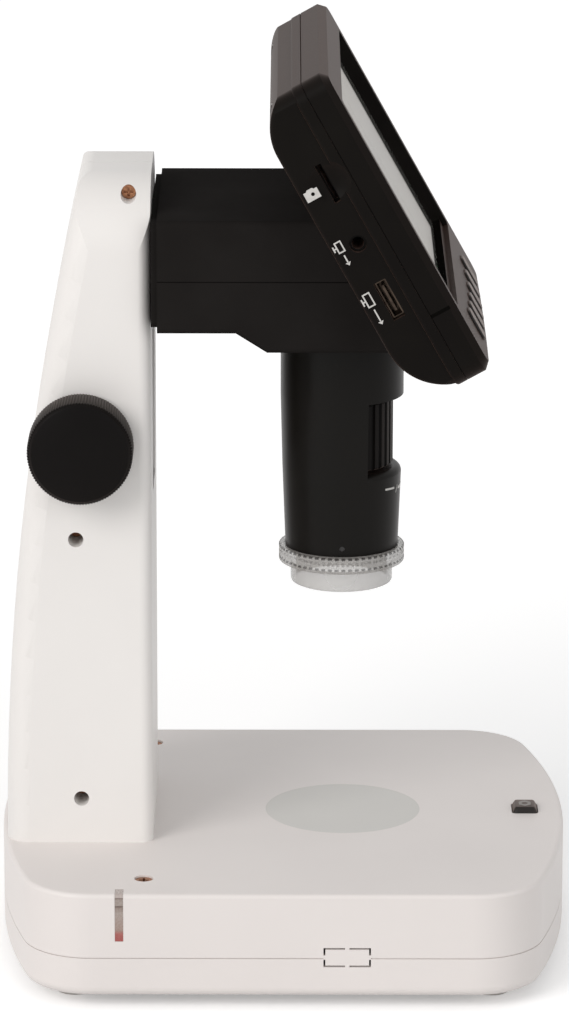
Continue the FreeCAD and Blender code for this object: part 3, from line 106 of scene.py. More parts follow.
def heightShare(tree, place, start, end):
    # How far up or down a point lies from one height, 0, to another, 1
    height = addNode(tree, "ShaderNodeSeparateXYZ", links={"Vector": place}).outputs["Z"]
    settings = {"From Min": start, "From Max": end}
    return addNode(tree, "ShaderNodeMapRange", settings, {"Value": height}).outputs["Result"]


def relief(tree, source, strength, depth):
    # Bumps with a depth in mm
    settings = {"Strength": strength, "Distance": depth * mm}
    return addNode(tree, "ShaderNodeBump", settings, {"Height": source}).outputs["Normal"]


def calculate(tree, operation, first, second=0.0):
    # One step of arithmetic on a socket and on a second socket or a number
    node = addNode(tree, "ShaderNodeMath", {"operation": operation}, {0: first})
    if isinstance(second, float):
        node.inputs[1].default_value = second
    else:
        tree.links.new(second, node.inputs[1])
    return node.outputs[0]


# The screen unit's own directions, in mm: down its face, out of its face, and its near side wall
screenUnit = {"tilt": 29.2, "edgeY": -10.0, "edgeZ": 276.4, "sideX": -60.1, "faceOut": 1.9, "keyProud": 0.8}

# Finishes

whiteShell = {
    "colour": "#E9E3E0", "shade": "#E5DFDC", "patchSize": 60, "grain": 0.45, "depth": 0.008,
    "roughness": (0.42, 0.50), "ior": 1.53, "specular": 0.40, "sheen": 0.0, "sheenTint": "#FFFFFF",
}
# A lighter, less pink copy of the white shell for the column: painted light on the same white plastic
columnShellPaintedLight = dict(whiteShell, colour="#EDEAE7", shade="#E9E6E3")
blackShell = {
    "colour": "#0D0C0B", "shade": "#11100E", "patchSize": 24, "grain": 0.40, "depth": 0.012,
    "roughness": (0.38, 0.46), "ior": 1.53, "specular": 0.035, "sheen": 0.26, "sheenTint": "#9C7C70",
}
armShell = dict(blackShell, colour="#201E1D", shade="#242221", roughness=(0.62, 0.72), specular=0.002,
                sheen=0.0)
# The painted shade band runs between two distances down the face and lies behind a distance out of it, in mm
screenShell = dict(blackShell, paintedShadeBand=((76.8, 77.9), 0.15))
tubeShell = dict(blackShell, colour="#12100E", roughness=(0.30, 0.36), specular=0.09, sheen=0.05)
knobShell = {
    "colour": "#0A0909", "shade": "#0C0B0B", "patchSize": 14, "grain": 0.35, "depth": 0.010,
    "roughness": (0.36, 0.44), "ior": 1.53, "specular": 0.05, "sheen": 0.30, "sheenTint": "#A8968C",
}
keyShell = {
    "colour": "#100E0C", "shade": "#151210", "patchSize": 9, "grain": 0.30, "depth": 0.008,
    "roughness": (0.38, 0.46), "ior": 1.53, "specular": 0.24, "sheen": 0.45, "sheenTint": "#A88878",
}


def mouldedAbs(name, look):
    # Injection-moulded ABS from a spark-eroded tool: a fine even grain, a soft sheen and faint cloudy patches
    material, tree, place = newMaterial(name)
    patches = speckle(tree, place, look["patchSize"], detail=3.0)
    grain = speckle(tree, place, look["grain"], fine=0.6)
    shader = surface(tree, {"IOR": look["ior"], "Specular IOR Level": look["specular"],
                            "Sheen Weight": look["sheen"], "Sheen Tint": linear(look["sheenTint"])},
                     {"Base Color": ramp(tree, patches, [(0.35, look["colour"]), (0.7, look["shade"])]),
                      "Roughness": between(tree, grain, look["roughness"]),
                      "Normal": relief(tree, grain, 0.35, look["depth"])})
    if "paintedShadeBand" in look:
        paintShadeBand(tree, shader, place, look["paintedShadeBand"])
    return material


def paintShadeBand(tree, shader, place, band):
    # Painted shade: the lower wall of the screen's opening loses its sheen and specular, as if in the glass's
    # shade
    (downFrom, downTo), outTo = band
    tilt = math.radians(screenUnit["tilt"])
    edge = (0, screenUnit["edgeY"] * mm, screenUnit["edgeZ"] * mm)
    fromEdge = addNode(tree, "ShaderNodeVectorMath", {"operation": "SUBTRACT", 1: edge}, {0: place})

    def along(direction):
        product = addNode(tree, "ShaderNodeVectorMath", {"operation": "DOT_PRODUCT", 1: direction},
                          {0: fromEdge.outputs["Vector"]})
        return product.outputs["Value"]

    down = along((0, -math.sin(tilt), -math.cos(tilt)))
    out = along((0, -math.cos(tilt), math.sin(tilt)))
    inside = calculate(tree, "MULTIPLY", calculate(tree, "GREATER_THAN", down, downFrom * mm),
                       calculate(tree, "LESS_THAN", down, downTo * mm))
    inside = calculate(tree, "MULTIPLY", inside, calculate(tree, "LESS_THAN", out, outTo * mm))
    for name in ("Sheen Weight", "Specular IOR Level"):
        socket = shader.inputs[name]
        tree.links.new(between(tree, inside, (socket.default_value, 0.0)), socket)


frostedPlate = {"colour": "#D8D6D2", "edge": "#D5D3CF", "haze": 24, "grain": 0.25, "depth": 0.006,
                "roughness": (0.46, 0.56), "ior": 1.49, "specular": 0.4}


def frostedAcrylic(name, look):
    # Cast acrylic with a sand-blasted face: milky, a little cooler than the shell, with a dull even sheen
    material, tree, place = newMaterial(name)
    haze = speckle(tree, place, look["haze"])
    blast = speckle(tree, place, look["grain"], detail=3.0)
    surface(tree, {"IOR": look["ior"], "Specular IOR Level": look["specular"]},
            {"Base Color": ramp(tree, haze, [(0.3, look["colour"]), (0.75, look["edge"])]),
             "Roughness": between(tree, blast, look["roughness"]),
             "Normal": relief(tree, blast, 0.4, look["depth"])})
    return material


capPads = 58
# The rows hold heights in mm and how dark the painted dashes of the tube seen through the cap are there
clearCapLook = {"colour": "#B3B0AC", "edge": "#A19E9A", "paintedTubeDash": "#3A3634", "flow": 9, "depth": 0.004,
                "roughness": (0.14, 0.20), "alpha": (0.43, 0.62), "paintedTubeDashAlpha": 0.78,
                "paintedTubeDashShare": 0.60, "specular": 0.25,
                "rows": [(115.9, 0.0), (117.0, 0.0), (117.1, 0.85), (117.7, 0.85), (117.8, 0.0), (119.2, 0.0),
                         (119.3, 0.50), (119.7, 0.50), (119.8, 0.0), (120.4, 0.0), (120.5, 1.0), (121.1, 1.0),
                         (121.2, 0.0)]}


def knurledClear(name, look):
    # Thin clear polycarbonate: light grey against the paper, with painted shade darkening it towards its
    # edges as they turn from the camera. The dark tube behind it is painted on in rows of short dashes, a
    # painted refraction
    material, tree, place = newMaterial(name)
    axes = addNode(tree, "ShaderNodeSeparateXYZ", links={"Vector": place}).outputs
    low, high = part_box("camera_tube")
    depth = calculate(tree, "SUBTRACT", axes["Y"], (low.y + high.y) / 2)
    angle = calculate(tree, "ARCTAN2", axes["X"], depth)
    share = calculate(tree, "FRACT", calculate(tree, "MULTIPLY", angle, capPads / tau))
    paintedTubeDash = calculate(tree, "LESS_THAN", share, look["paintedTubeDashShare"])
    bottom, top = look["rows"][0][0], look["rows"][-1][0]
    level = heightShare(tree, place, bottom * mm, top * mm)
    rows = ramp(tree, level, [((z - bottom) / (top - bottom), amount) for z, amount in look["rows"]])
    inPaintedTubeDash = calculate(tree, "MULTIPLY", rows, paintedTubeDash)
    # Painted shade: the grey turns darker towards the edges as they turn away from the camera
    rim = addNode(tree, "ShaderNodeLayerWeight", {"Blend": 0.35}).outputs["Facing"]
    body = ramp(tree, rim, [(0.25, look["colour"]), (0.85, look["edge"])])
    colour = addNode(tree, "ShaderNodeMix", {"data_type": "RGBA", 7: linear(look["paintedTubeDash"])},
                     {0: inPaintedTubeDash, 6: body})
    alpha = addNode(tree, "ShaderNodeMix", {"data_type": "FLOAT", 3: look["paintedTubeDashAlpha"]},
                    {0: inPaintedTubeDash, 2: between(tree, rim, look["alpha"])})
    flow = speckle(tree, place, look["flow"], detail=1.5)
    surface(tree, {"Specular IOR Level": look["specular"]},
            {"Base Color": colour.outputs[2], "Roughness": between(tree, flow, look["roughness"]),
             "Alpha": alpha.outputs[0], "Normal": relief(tree, flow, 0.2, look["depth"])})
    return material


filmLook = {"colour": "#D8D5D0", "shade": "#D0CEC9", "haze": 18, "roughness": (0.30, 0.42), "alpha": 0.06,
            "specular": 0.1}
lensLook = {"tint": "#DDE6F2", "flow": 9, "depth": 0.001, "roughness": (0.01, 0.02), "ior": 1.52}


def opticalGlass(name, look):
    # Clear optical glass: see-through, with the faintest waves that bend what is behind it
    material, tree, place = newMaterial(name)
    flow = speckle(tree, place, look["flow"], detail=1.5)
    surface(tree, {"Base Color": linear(look["tint"]), "IOR": look["ior"], "Transmission Weight": 1.0},
            {"Roughness": between(tree, flow, look["roughness"]),
             "Normal": relief(tree, flow, 0.3, look["depth"])})
    return material


def clearFilm(name, look):
    # Thin hard-coated acrylic window: almost unseen, with a faint anti-glare haze over the screen
    material, tree, place = newMaterial(name)
    haze = speckle(tree, place, look["haze"])
    surface(tree, {"Alpha": look["alpha"], "Specular IOR Level": look["specular"]},
            {"Base Color": ramp(tree, haze, [(0.35, look["colour"]), (0.7, look["shade"])]),
             "Roughness": between(tree, haze, look["roughness"])})
    return material


# Share of the way down the panel, and the colour there
screenLook = {"bands": [(0.0, "#A6A39F"), (0.44, "#A2A1A0"), (1.0, "#A09E9B")], "sub": 0.45, "depth": 0.004,
              "roughness": (0.50, 0.58), "ior": 1.5, "specular": 0.0, "glow": "#FFFCF8", "paintedGlowStrength": 0.27}


def blankScreen(name, look):
    # Blank screen under its polariser: even grey with an anti-glare haze and a faint painted glow, though it
    # is switched off
    material, tree, place = newMaterial(name)
    low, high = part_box("lcd_panel")
    glare = speckle(tree, place, look["sub"])
    surface(tree, {"IOR": look["ior"], "Specular IOR Level": look["specular"],
                   "Emission Color": linear(look["glow"]), "Emission Strength": look["paintedGlowStrength"]},
            {"Base Color": ramp(tree, heightShare(tree, place, high.z, low.z), look["bands"]),
             "Roughness": between(tree, glare, look["roughness"]),
             "Normal": relief(tree, glare, 0.2, look["depth"])})
    return material


copperPlate = {"colour": "#A8785A", "dull": "#6E4A38", "size": 1.2, "scratch": 0.15,
               "roughness": (0.28, 0.48), "depth": 0.004}
zincPlate = {"colour": "#B4B3B0", "dull": "#8E8D8B", "size": 2.5, "scratch": 0.2,
             "roughness": (0.25, 0.42), "depth": 0.003}
tinPlate = {"colour": "#A58E68", "dull": "#6E5C44", "size": 2.0, "scratch": 0.2,
            "roughness": (0.25, 0.45), "depth": 0.003}


def platedSteel(name, look):
    # Plated steel, barrel finished: a warm or grey metal shine broken by dull spots and tiny tumbling marks
    material, tree, place = newMaterial(name)
    spots = speckle(tree, place, look["size"], detail=3.0)
    scratches = speckle(tree, place, look["scratch"])
    surface(tree, {"Metallic": 1.0},
            {"Base Color": ramp(tree, spots, [(0.4, look["colour"]), (0.75, look["dull"])]),
             "Roughness": between(tree, spots, look["roughness"]),
             "Normal": relief(tree, scratches, 0.4, look["depth"])})
    return material


# Plainer finishes, mostly inside: colour, second colour, patch size mm, grain mm, roughness
plainFinishes = {
    "soldermask": ("#1E5A36", "#17482B", 6, 0.5, (0.25, 0.4)),
    "phosphorResin": ("#EADFA0", "#E0D080", 1.5, 0.2, (0.3, 0.45)),
    "shrinkWrap": ("#2F5793", "#274A80", 9, 1.2, (0.2, 0.35)),
    "nylon": ("#E2DED2", "#D9D4C6", 5, 0.4, (0.4, 0.55)),
    "paintedZinc": ("#1C1B1A", "#232120", 6, 0.3, (0.4, 0.55)),
    "polyimideFlex": ("#C9B384", "#BFA774", 7, 0.6, (0.3, 0.45)),
    "silicone": ("#DCD7D2", "#D4CFCA", 5, 0.35, (0.55, 0.7)),
    "padInk": ("#C9C7C3", "#BDBBB7", 2, 0.15, (0.5, 0.6)),
    "padInkGrey": ("#8A8682", "#7E7A76", 2, 0.15, (0.5, 0.6)),
}


plainDepth = 0.01


def plainFinish(name):
    # One of the plainer finishes: two close tones in patches and a fine grain
    first, second, patchSize, grainSize, roughness = plainFinishes[name]
    material, tree, place = newMaterial(name)
    patches = speckle(tree, place, patchSize, detail=3.0)
    grain = speckle(tree, place, grainSize)
    surface(tree, {}, {"Base Color": ramp(tree, patches, [(0.4, first), (0.7, second)]),
                       "Roughness": between(tree, grain, roughness),
                       "Normal": relief(tree, grain, 0.3, plainDepth)})
    return material


# From the bottom of the pipe up: place of each band as a share of its height, and its colour
lightPipeLook = {
    "bands": [(0.0, "#A2524F"), (0.16, "#A5605A"), (0.24, "#A08A80"), (0.60, "#A79A93"), (0.72, "#8E7E76"),
              (0.745, "#5E4B44"), (0.77, "#A2968F"), (0.90, "#9C8F88"), (0.915, "#6A5850"),
              (0.94, "#B7ABA6")],
    "roughness": (0.2, 0.35), "grain": 0.6, "ior": 1.49,
}


def tintedLightPipe(name, look):
    # Smoked acrylic light pipe with its dark baffles showing through, and red at the charge lamp's end
    material, tree, place = newMaterial(name)
    low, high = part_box("charge_light_pipe")
    ripple = speckle(tree, place, look["grain"])
    surface(tree, {"IOR": look["ior"]},
            {"Base Color": ramp(tree, heightShare(tree, place, low.z, high.z), look["bands"]),
             "Roughness": between(tree, ripple, look["roughness"])})
    return material


finish = {
    "white_abs": mouldedAbs("ABS_white", whiteShell),
    "black_abs": mouldedAbs("ABS_black", blackShell),
    "knob_plastic": mouldedAbs("ABS_black_knob", knobShell),
    "key_plastic": mouldedAbs("ABS_black_key", keyShell),
    "diffuser": frostedAcrylic("acrylic_frosted", frostedPlate),
    "clear_plastic": knurledClear("polycarbonate_clear", clearCapLook),
    "lcd_glass": clearFilm("acrylic_window", filmLook),
    "lens_glass": opticalGlass("glass_lens", lensLook),
    "lcd_layer": blankScreen("polariser_film", screenLook),
    "copper_screw": platedSteel("steel_copper_plated", copperPlate),
    "steel": platedSteel("steel_zinc_plated", zincPlate),
    "connector_metal": platedSteel("steel_tin_plated", tinPlate),
    "circuit_board": plainFinish("soldermask"),
    "led_lens": plainFinish("phosphorResin"),
    "battery_wrap": plainFinish("shrinkWrap"),
    "gear_nylon": plainFinish("nylon"),
    "mount_metal": plainFinish("paintedZinc"),
    "ribbon_cable": plainFinish("polyimideFlex"),
    "rubber": plainFinish("silicone"),
    "indicator_lens": tintedLightPipe("acrylic_smoked", lightPipeLook),
}
whiteInk = plainFinish("padInk")
greyInk = plainFinish("padInkGrey")
print("finishes made:", len(finish))

nodeSlot = {name: node.material_slots[0].material.name.split(".")[0] for name, node in nodes.items()}

# Some nodes differ from their slot's finish, as the photo shows them duller, glossier or darker
# The column gets the lighter copy of the white shell, painted light
columnFinishPaintedLight = mouldedAbs("ABS_white_column_painted_light", columnShellPaintedLight)
armFinish = mouldedAbs("ABS_black_matt", armShell)
tubeFinish = mouldedAbs("ABS_black_tube", tubeShell)
# A darkened copy of the plated metal for the video port: painted shade inside its opening
paintedShadeMetal = dict(zincPlate, colour="#4A4038", dull="#2A2420")
paintedShadeTin = platedSteel("steel_tin_painted_shade", paintedShadeMetal)
screenFinish = mouldedAbs("ABS_black_screen_surround", screenShell)
ownFinish = {
    "display_front_shell": screenFinish,
    # The card socket in black plastic and the video port in the darkened metal are painted shade in their
    # openings
    "arm_mount_plate": armFinish, "card_socket": finish["black_abs"], "video_port": paintedShadeTin,
    "column_left_half": columnFinishPaintedLight, "column_right_half": columnFinishPaintedLight, "arm_upper_shell": armFinish,
    "arm_lower_shell": armFinish, "camera_tube": tubeFinish, "tube_set_screw": finish["mount_metal"],
}
for name, node in nodes.items():
    for materialSlot in node.material_slots:
        materialSlot.material = ownFinish.get(name, finish[nodeSlot[name]])


# Mesh helpers

def addPiece(name, verts, faces, slotName, body, stands=(), material=None, sharp=34):
    mesh = bpy.data.meshes.new(name)
    mesh.from_pydata([tuple(c * mm for c in v) for v in verts], [], faces)
    mesh.validate()
    shape = bmesh.new()
    shape.from_mesh(mesh)
    bmesh.ops.recalc_face_normals(shape, faces=shape.faces)
    shape.to_mesh(mesh)
    shape.free()
    mesh.materials.append(material or finish[slotName])
    piece = bpy.data.objects.new(name, mesh)
    bpy.context.scene.collection.objects.link(piece)
    mesh.shade_smooth()
    mesh.set_sharp_from_angle(angle=math.radians(sharp))
    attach(piece, body)
    if stands:
        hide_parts(*stands)


def turned(profile, centre, along, around, ribs, perRib, wave):
    # A closed ring with ribs round it. The profile's rows hold the radius, the place along the axis and how
    # deep the ribs are cut there. The wave turns a share of one rib into a share of that depth
    steps = ribs * perRib
    across = Vector(along).cross(Vector(around))
    verts, faces = [], []
    for radius, place, depth in profile:
        for k in range(steps):
            r = radius - depth * wave((k % perRib) / perRib)
            angle = tau * k / steps
            out = Vector(around) * math.cos(angle) + across * math.sin(angle)
            verts.append(tuple(Vector(centre) + Vector(along) * place + out * r))
    rows = len(profile)
    for j in range(rows):
        nextRow = (j + 1) % rows
        for k in range(steps):
            m = (k + 1) % steps
            faces.append((j * steps + k, j * steps + m, nextRow * steps + m, nextRow * steps + k))
    return verts, faces


# Focus knobs: fine straight ribs round the rim, a narrow bright ring, then a plain flat face

# The edges' rows: inset from the rim, distance from that end, share of the ribs' depth
knob = {"wall": 3.0, "ribPitch": 0.88, "ribDepth": 0.34, "ribSteps": 6, "faceInset": 1.4, "hub": 5.6,
        "bore": 3.0, "hollowDepth": 5.0, "plugDepth": 3.0, "plugR": 0.02,
        "rearEdge": [(0.7, 0.0, 0.0), (0.15, 0.18, 0.4), (0.0, 0.55, 1.0)],
        "frontEdge": [(0.0, 1.05, 1.0), (0.12, 0.75, 1.0), (0.45, 0.55, 0.5), (0.75, 0.55, 0.0),
                      (0.80, 0.42, 0.0), (1.30, 0.06, 0.0)]}


def ribWave(share):
    return 0.5 - 0.5 * math.cos(tau * share)


def makeKnob(side, node):
    k, d = knob, knob["ribDepth"]
    low, high = (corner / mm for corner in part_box(node))
    r, w = (high.z - low.z) / 2, high.x - low.x
    back = low.x if side > 0 else high.x
    face, hollow, deep, plug = r - k["faceInset"], r - k["wall"], k["hollowDepth"], w - k["plugDepth"]
    bore, hub, plugR = k["bore"], k["hub"], k["plugR"]
    profile = [(bore, 0.0, 0), (hub, 0.0, 0), (hub, deep, 0), (hollow, deep, 0), (hollow, 0.0, 0)]
    profile += [(r - inset, place, d * share) for inset, place, share in k["rearEdge"]]
    profile += [(r - inset, w - place, d * share) for inset, place, share in k["frontEdge"]]
    profile += [(face, w, 0), (bore, w, 0), (plugR, w, 0), (plugR, plug, 0), (bore, plug, 0)]
    centre = (back, (low.y + high.y) / 2, (low.z + high.z) / 2)
    ribs = round(tau * r / k["ribPitch"])
    verts, faces = turned(profile, centre, (side, 0, 0), (0, 0, 1), ribs, k["ribSteps"], ribWave)
    addPiece(node + "_ribbed", verts, faces, "knob_plastic", "focus_knobs", [node])


makeKnob(-1, "focus_knob_left")
makeKnob(1, "focus_knob_right")
print("focus knobs made")

# Focusing wheel in the tube's window: coarse upright teeth with rounded gullets

wheelLow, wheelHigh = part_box("focus_wheel")
wheel = {"radius": (wheelHigh.x - wheelLow.x) / 2 / mm, "low": wheelLow.z / mm, "high": wheelHigh.z / mm,
         "bore": 9.2, "teeth": 34, "toothSteps": 12, "crest": 0.7, "depth": 0.95,
         "edge": [(1.2, 0.0, 0.0), (0.5, 0.25, 0.5), (0.0, 0.8, 1.0)]}
tubeY = (wheelLow.y + wheelHigh.y) / 2 / mm


def toothWave(share):
    return max(0.0, math.cos(tau * share)) ** wheel["crest"]


def makeWheel():
    w = wheel
    r, d = w["radius"], w["depth"]
    height = w["high"] - w["low"]
    profile = [(w["bore"], 0.0, 0)]
    profile += [(r - inset, place, d * share) for inset, place, share in w["edge"]]
    profile += [(r - inset, height - place, d * share) for inset, place, share in reversed(w["edge"])]
    profile += [(w["bore"], height, 0)]
    verts, faces = turned(profile, (0, tubeY, w["low"]), (0, 0, 1), (0, -1, 0), w["teeth"], w["toothSteps"],
                          toothWave)
    addPiece("focus_wheel_toothed", verts, faces, "knob_plastic", "focus_wheel", ["focus_wheel"])


makeWheel()
print("focusing wheel made")

# Clear cap: a knurled flange in three rows over a plain round skirt

capLow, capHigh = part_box("clear_cap")
cap = {"flange": (capHigh.x - capLow.x) / 2 / mm, "top": capHigh.z / mm, "bottom": capLow.z / mm,
       "flangeBottom": 116.0, "flangeInset": 0.9, "seat": 120.2, "rim": 17.25, "lip": (0.2, 0.25),
       "skirt": 15.4, "wall": 1.6, "rows": 3, "padSteps": 8, "padShare": 0.72, "depth": 0.22,
       "groove": 0.18, "padEdge": (0.22, 0.45),
       "foot": [(1.6, 0.5), (1.2, 0.05), (0.7, 0.0), (0.2, 0.25), (0.0, 0.8)]}


def padWave(share):
    return 1.0 if share >= cap["padShare"] else 0.0


def makeCap():
    c = cap
    r, d, g = c["flange"], c["depth"], c["groove"]
    low, top = c["flangeBottom"], c["top"]
    row = (top - low) / c["rows"]
    edgeIn, edgeOut = c["padEdge"]
    lipWide, lipDeep = c["lip"]
    inner = c["skirt"] - c["wall"]
    profile = [(c["skirt"] - inset, c["bottom"] + height, 0) for inset, height in c["foot"]]
    profile += [(c["skirt"], low, 0), (r - c["flangeInset"], low, 0)]
    for i in range(c["rows"]):
        z0, z1 = low + i * row, low + (i + 1) * row
        profile += [(r - g, z0 + edgeIn, d / 2), (r, z0 + edgeOut, d), (r, z1 - edgeOut, d),
                    (r - g, z1 - edgeIn, d / 2)]
    profile += [(r - c["flangeInset"], top, 0), (c["rim"] + lipWide, top, 0), (c["rim"], top - lipDeep, 0),
                (c["rim"], c["seat"], 0), (inner, c["seat"], 0)]
    verts, faces = turned(profile, (0, tubeY, 0), (0, 0, 1), (0, -1, 0), capPads, c["padSteps"], padWave)
    addPiece("clear_cap_knurled", verts, faces, "clear_plastic", "clear_cap", ["clear_cap"], sharp=28)


makeCap()
print("clear cap made")

# Base button: a key with sloped sides and a printed mark on its top

# The crown's rows: inset past the slope, depth below the top, share of the corner's radius
button = {"halfLength": 3.8, "halfWidth": 4.6, "proud": 1.7, "slope": 0.85, "corner": 1.1, "skirt": 1.2,
          "skirtHeight": 1.0, "shoulder": (0.1, 0.25),
          "crown": [(-0.12, 0.25, 0.8), (0.1, 0.06, 0.7), (0.4, 0.0, 0.6)]}


def roundedRing(halfX, halfY, radius, centre, z, steps=6):
    points = []
    for quarter, (sx, sy) in enumerate(((1, 1), (-1, 1), (-1, -1), (1, -1))):
        for k in range(steps + 1):
            angle = math.pi / 2 * (quarter + k / steps)
            points.append((centre[0] + sx * (halfX - radius) + radius * math.cos(angle),
                           centre[1] + sy * (halfY - radius) + radius * math.sin(angle), z))
    return points


def lofted(rings):
    # Rings of the same number of points, joined in order and closed at both ends
    n = len(rings[0])
    verts = [p for ring in rings for p in ring]
    faces = [tuple(range(n)), tuple(range(len(verts) - n, len(verts)))]
    for j in range(len(rings) - 1):
        for k in range(n):
            m = (k + 1) % n
            faces.append((j * n + k, j * n + m, (j + 1) * n + m, (j + 1) * n + k))
    return verts, faces


def makeBaseButton():
    b = button
    low, high = (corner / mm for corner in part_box("base_button"))
    centre = ((low.x + high.x) / 2, (low.y + high.y) / 2)
    top = high.z
    seat = top - b["proud"]
    x, y, r = b["halfWidth"], b["halfLength"], b["corner"]
    shoulderIn, shoulderUp = b["shoulder"]
    ledge = low.z + b["skirtHeight"]
    levels = [(-b["skirt"], r, low.z), (-b["skirt"], r, ledge), (0, r, ledge), (0, r, seat),
              (shoulderIn, r, seat + shoulderUp)]
    levels += [(b["slope"] + inset, r * share, top - drop) for inset, drop, share in b["crown"]]
    rings = [roundedRing(x - inset, y - inset, radius, centre, z) for inset, radius, z in levels]
    verts, faces = lofted(rings)
    addPiece("base_button_key", verts, faces, "key_plastic", "base_button", ["base_button"], sharp=50)
    return centre, top


buttonCentre, buttonTop = makeBaseButton()
print("base button made")

# Printed marks: thin closed flakes of ink that lie on the plastic; all are plain signs without lettering

marks = {"rise": 0.06, "sink": 0.05, "line": 0.42, "overlay": 1.4}


def addMarks(name, outlines, place, body, material, slotName):
    verts, faces = [], []
    for outline in outlines:
        n, first = len(outline), len(verts)
        verts += [place(a, b, marks["rise"]) for a, b in outline]
        verts += [place(a, b, -marks["sink"]) for a, b in outline]
        faces.append(tuple(range(first, first + n)))
        faces.append(tuple(range(first + n, first + 2 * n)))
        for k in range(n):
            m = (k + 1) % n
            faces.append((first + k, first + m, first + n + m, first + n + k))
    addPiece(name, verts, faces, slotName, body, material=material)


def bar(a0, b0, a1, b1):
    return [(a0, b0), (a1, b0), (a1, b1), (a0, b1)]


def hollowBar(a0, b0, a1, b1, line):
    return [bar(a0, b0, a1, b0 + line), bar(a0, b1 - line, a1, b1),
            bar(a0, b0 + line, a0 + line, b1 - line), bar(a1 - line, b0 + line, a1, b1 - line)]


def disc(a, b, radius, steps=20):
    return [(a + radius * math.cos(tau * k / steps), b + radius * math.sin(tau * k / steps))
            for k in range(steps)]


def onScreenUnit(x, down, out):
    tilt = math.radians(screenUnit["tilt"])
    return (x, screenUnit["edgeY"] - down * math.sin(tilt) - out * math.cos(tilt),
            screenUnit["edgeZ"] - down * math.cos(tilt) + out * math.sin(tilt))


def onSideWall(a, b, height):
    return onScreenUnit(screenUnit["sideX"] - height, a, b)


def monitorSign(a, b, wide, tall):
    line = marks["line"]
    foot = 0.55
    return hollowBar(a - wide / 2, b - tall / 2, a + wide / 2, b + tall / 2, line) + [
        bar(a - line / 2, b - tall / 2 - foot, a + line / 2, b - tall / 2),
        bar(a - wide / 4, b - tall / 2 - foot - line, a + wide / 4, b - tall / 2 - foot)]


def arrowSign(a, b, long):
    line = marks["line"]
    headLong, headHalf, overlap = 1.0, 0.85, 0.1
    return [bar(a, b - line / 2, a + long - headLong + overlap, b + line / 2),
            [(a + long - headLong, b - headHalf), (a + long, b), (a + long - headLong, b + headHalf)]]


# The card sign's outline from its own centre: down the wall, then out of it
cardOutline = [(-1.3, -2.2), (-1.3, -1.2), (-1.75, -0.9), (-1.75, 0.9), (-1.3, 1.2), (-1.3, 2.2), (1.75, 2.2),
               (1.75, -2.2)]
# Each sign's place on the side wall, down and out, and its sizes
sideSigns = {"card": (29.15, -18.6), "window": (29.2, -18.3, 0.55),
             "jackScreen": (46.6, -19.2, 3.6, 2.2), "jackArrow": (49.3, -19.2, 3.4),
             "videoScreen": (64.4, -19.4, 4.4, 2.4), "videoArrow": (67.6, -19.4, 5.0)}


def above(place):
    # The same place, lifted so that a mark lies on another one
    return lambda a, b, height: place(a, b, height + marks["rise"] * (marks["overlay"] - 1))


cardA, cardB = sideSigns["card"]
addMarks("mark_card_slot", [[(cardA + a, cardB + b) for a, b in cardOutline]], onSideWall, "head", whiteInk,
         "white_abs")
addMarks("mark_card_window", [disc(*sideSigns["window"])], above(onSideWall), "head", finish["black_abs"],
         "black_abs")
addMarks("mark_jack", monitorSign(*sideSigns["jackScreen"]) + arrowSign(*sideSigns["jackArrow"]), onSideWall,
         "head", whiteInk, "white_abs")
addMarks("mark_video_port", monitorSign(*sideSigns["videoScreen"]) + arrowSign(*sideSigns["videoArrow"]),
         onSideWall, "head", whiteInk, "white_abs")

tube = {"rimZ": 120.3, "rimR": 17.0, "shoulderZ": 146.0, "shoulderR": 18.0}


def onTube(angle, z, height):
    share = (z - tube["rimZ"]) / (tube["shoulderZ"] - tube["rimZ"])
    r = tube["rimR"] + share * (tube["shoulderR"] - tube["rimR"]) + height
    a = math.radians(angle)
    return (-r * math.sin(a), tubeY - r * math.cos(a), z)


def arcBand(start, end, z0, z1, thickness0, thickness1, steps):
    # A band round the tube from one angle to another that may rise and change its width
    quads = []
    for k in range(steps):
        u, v = k / steps, (k + 1) / steps
        a, b = start + (end - start) * u, start + (end - start) * v
        za, zb = z0 + (z1 - z0) * u, z0 + (z1 - z0) * v
        ta = (thickness0 + (thickness1 - thickness0) * u) / 2
        tb = (thickness0 + (thickness1 - thickness0) * v) / 2
        quads.append([(a, za - ta), (b, zb - tb), (b, zb + tb), (a, za + ta)])
    return quads


# Angles in degrees, heights and widths in mm, then the steps along the band
tubeTicks = [(43, 28, 140.9, 140.5, 0.6, 0.6, 8), (24, 21, 138.9, 140.9, 0.6, 0.6, 2),
             (19, 4, 139.9, 139.9, 0.7, 1.5, 8), (-8, -11, 138.9, 140.9, 0.6, 0.6, 2),
             (-28, -43, 140.5, 140.9, 0.6, 0.6, 8)]
addMarks("mark_tube_ticks", [quad for tick in tubeTicks for quad in arcBand(*tick)], onTube, "head", whiteInk,
         "white_abs")


def onButton(a, b, height):
    return (buttonCentre[0] + a, buttonCentre[1] + b, buttonTop + height)


hexagon = [(2.6 * math.cos(tau * k / 6), 2.1 * math.sin(tau * k / 6)) for k in range(6)]
addMarks("mark_button_hexagon", [hexagon], onButton, "base_button", greyInk, "white_abs")
addMarks("mark_button_dot", [disc(0, 0, 0.95)], above(onButton), "base_button", finish["key_plastic"],
         "key_plastic")

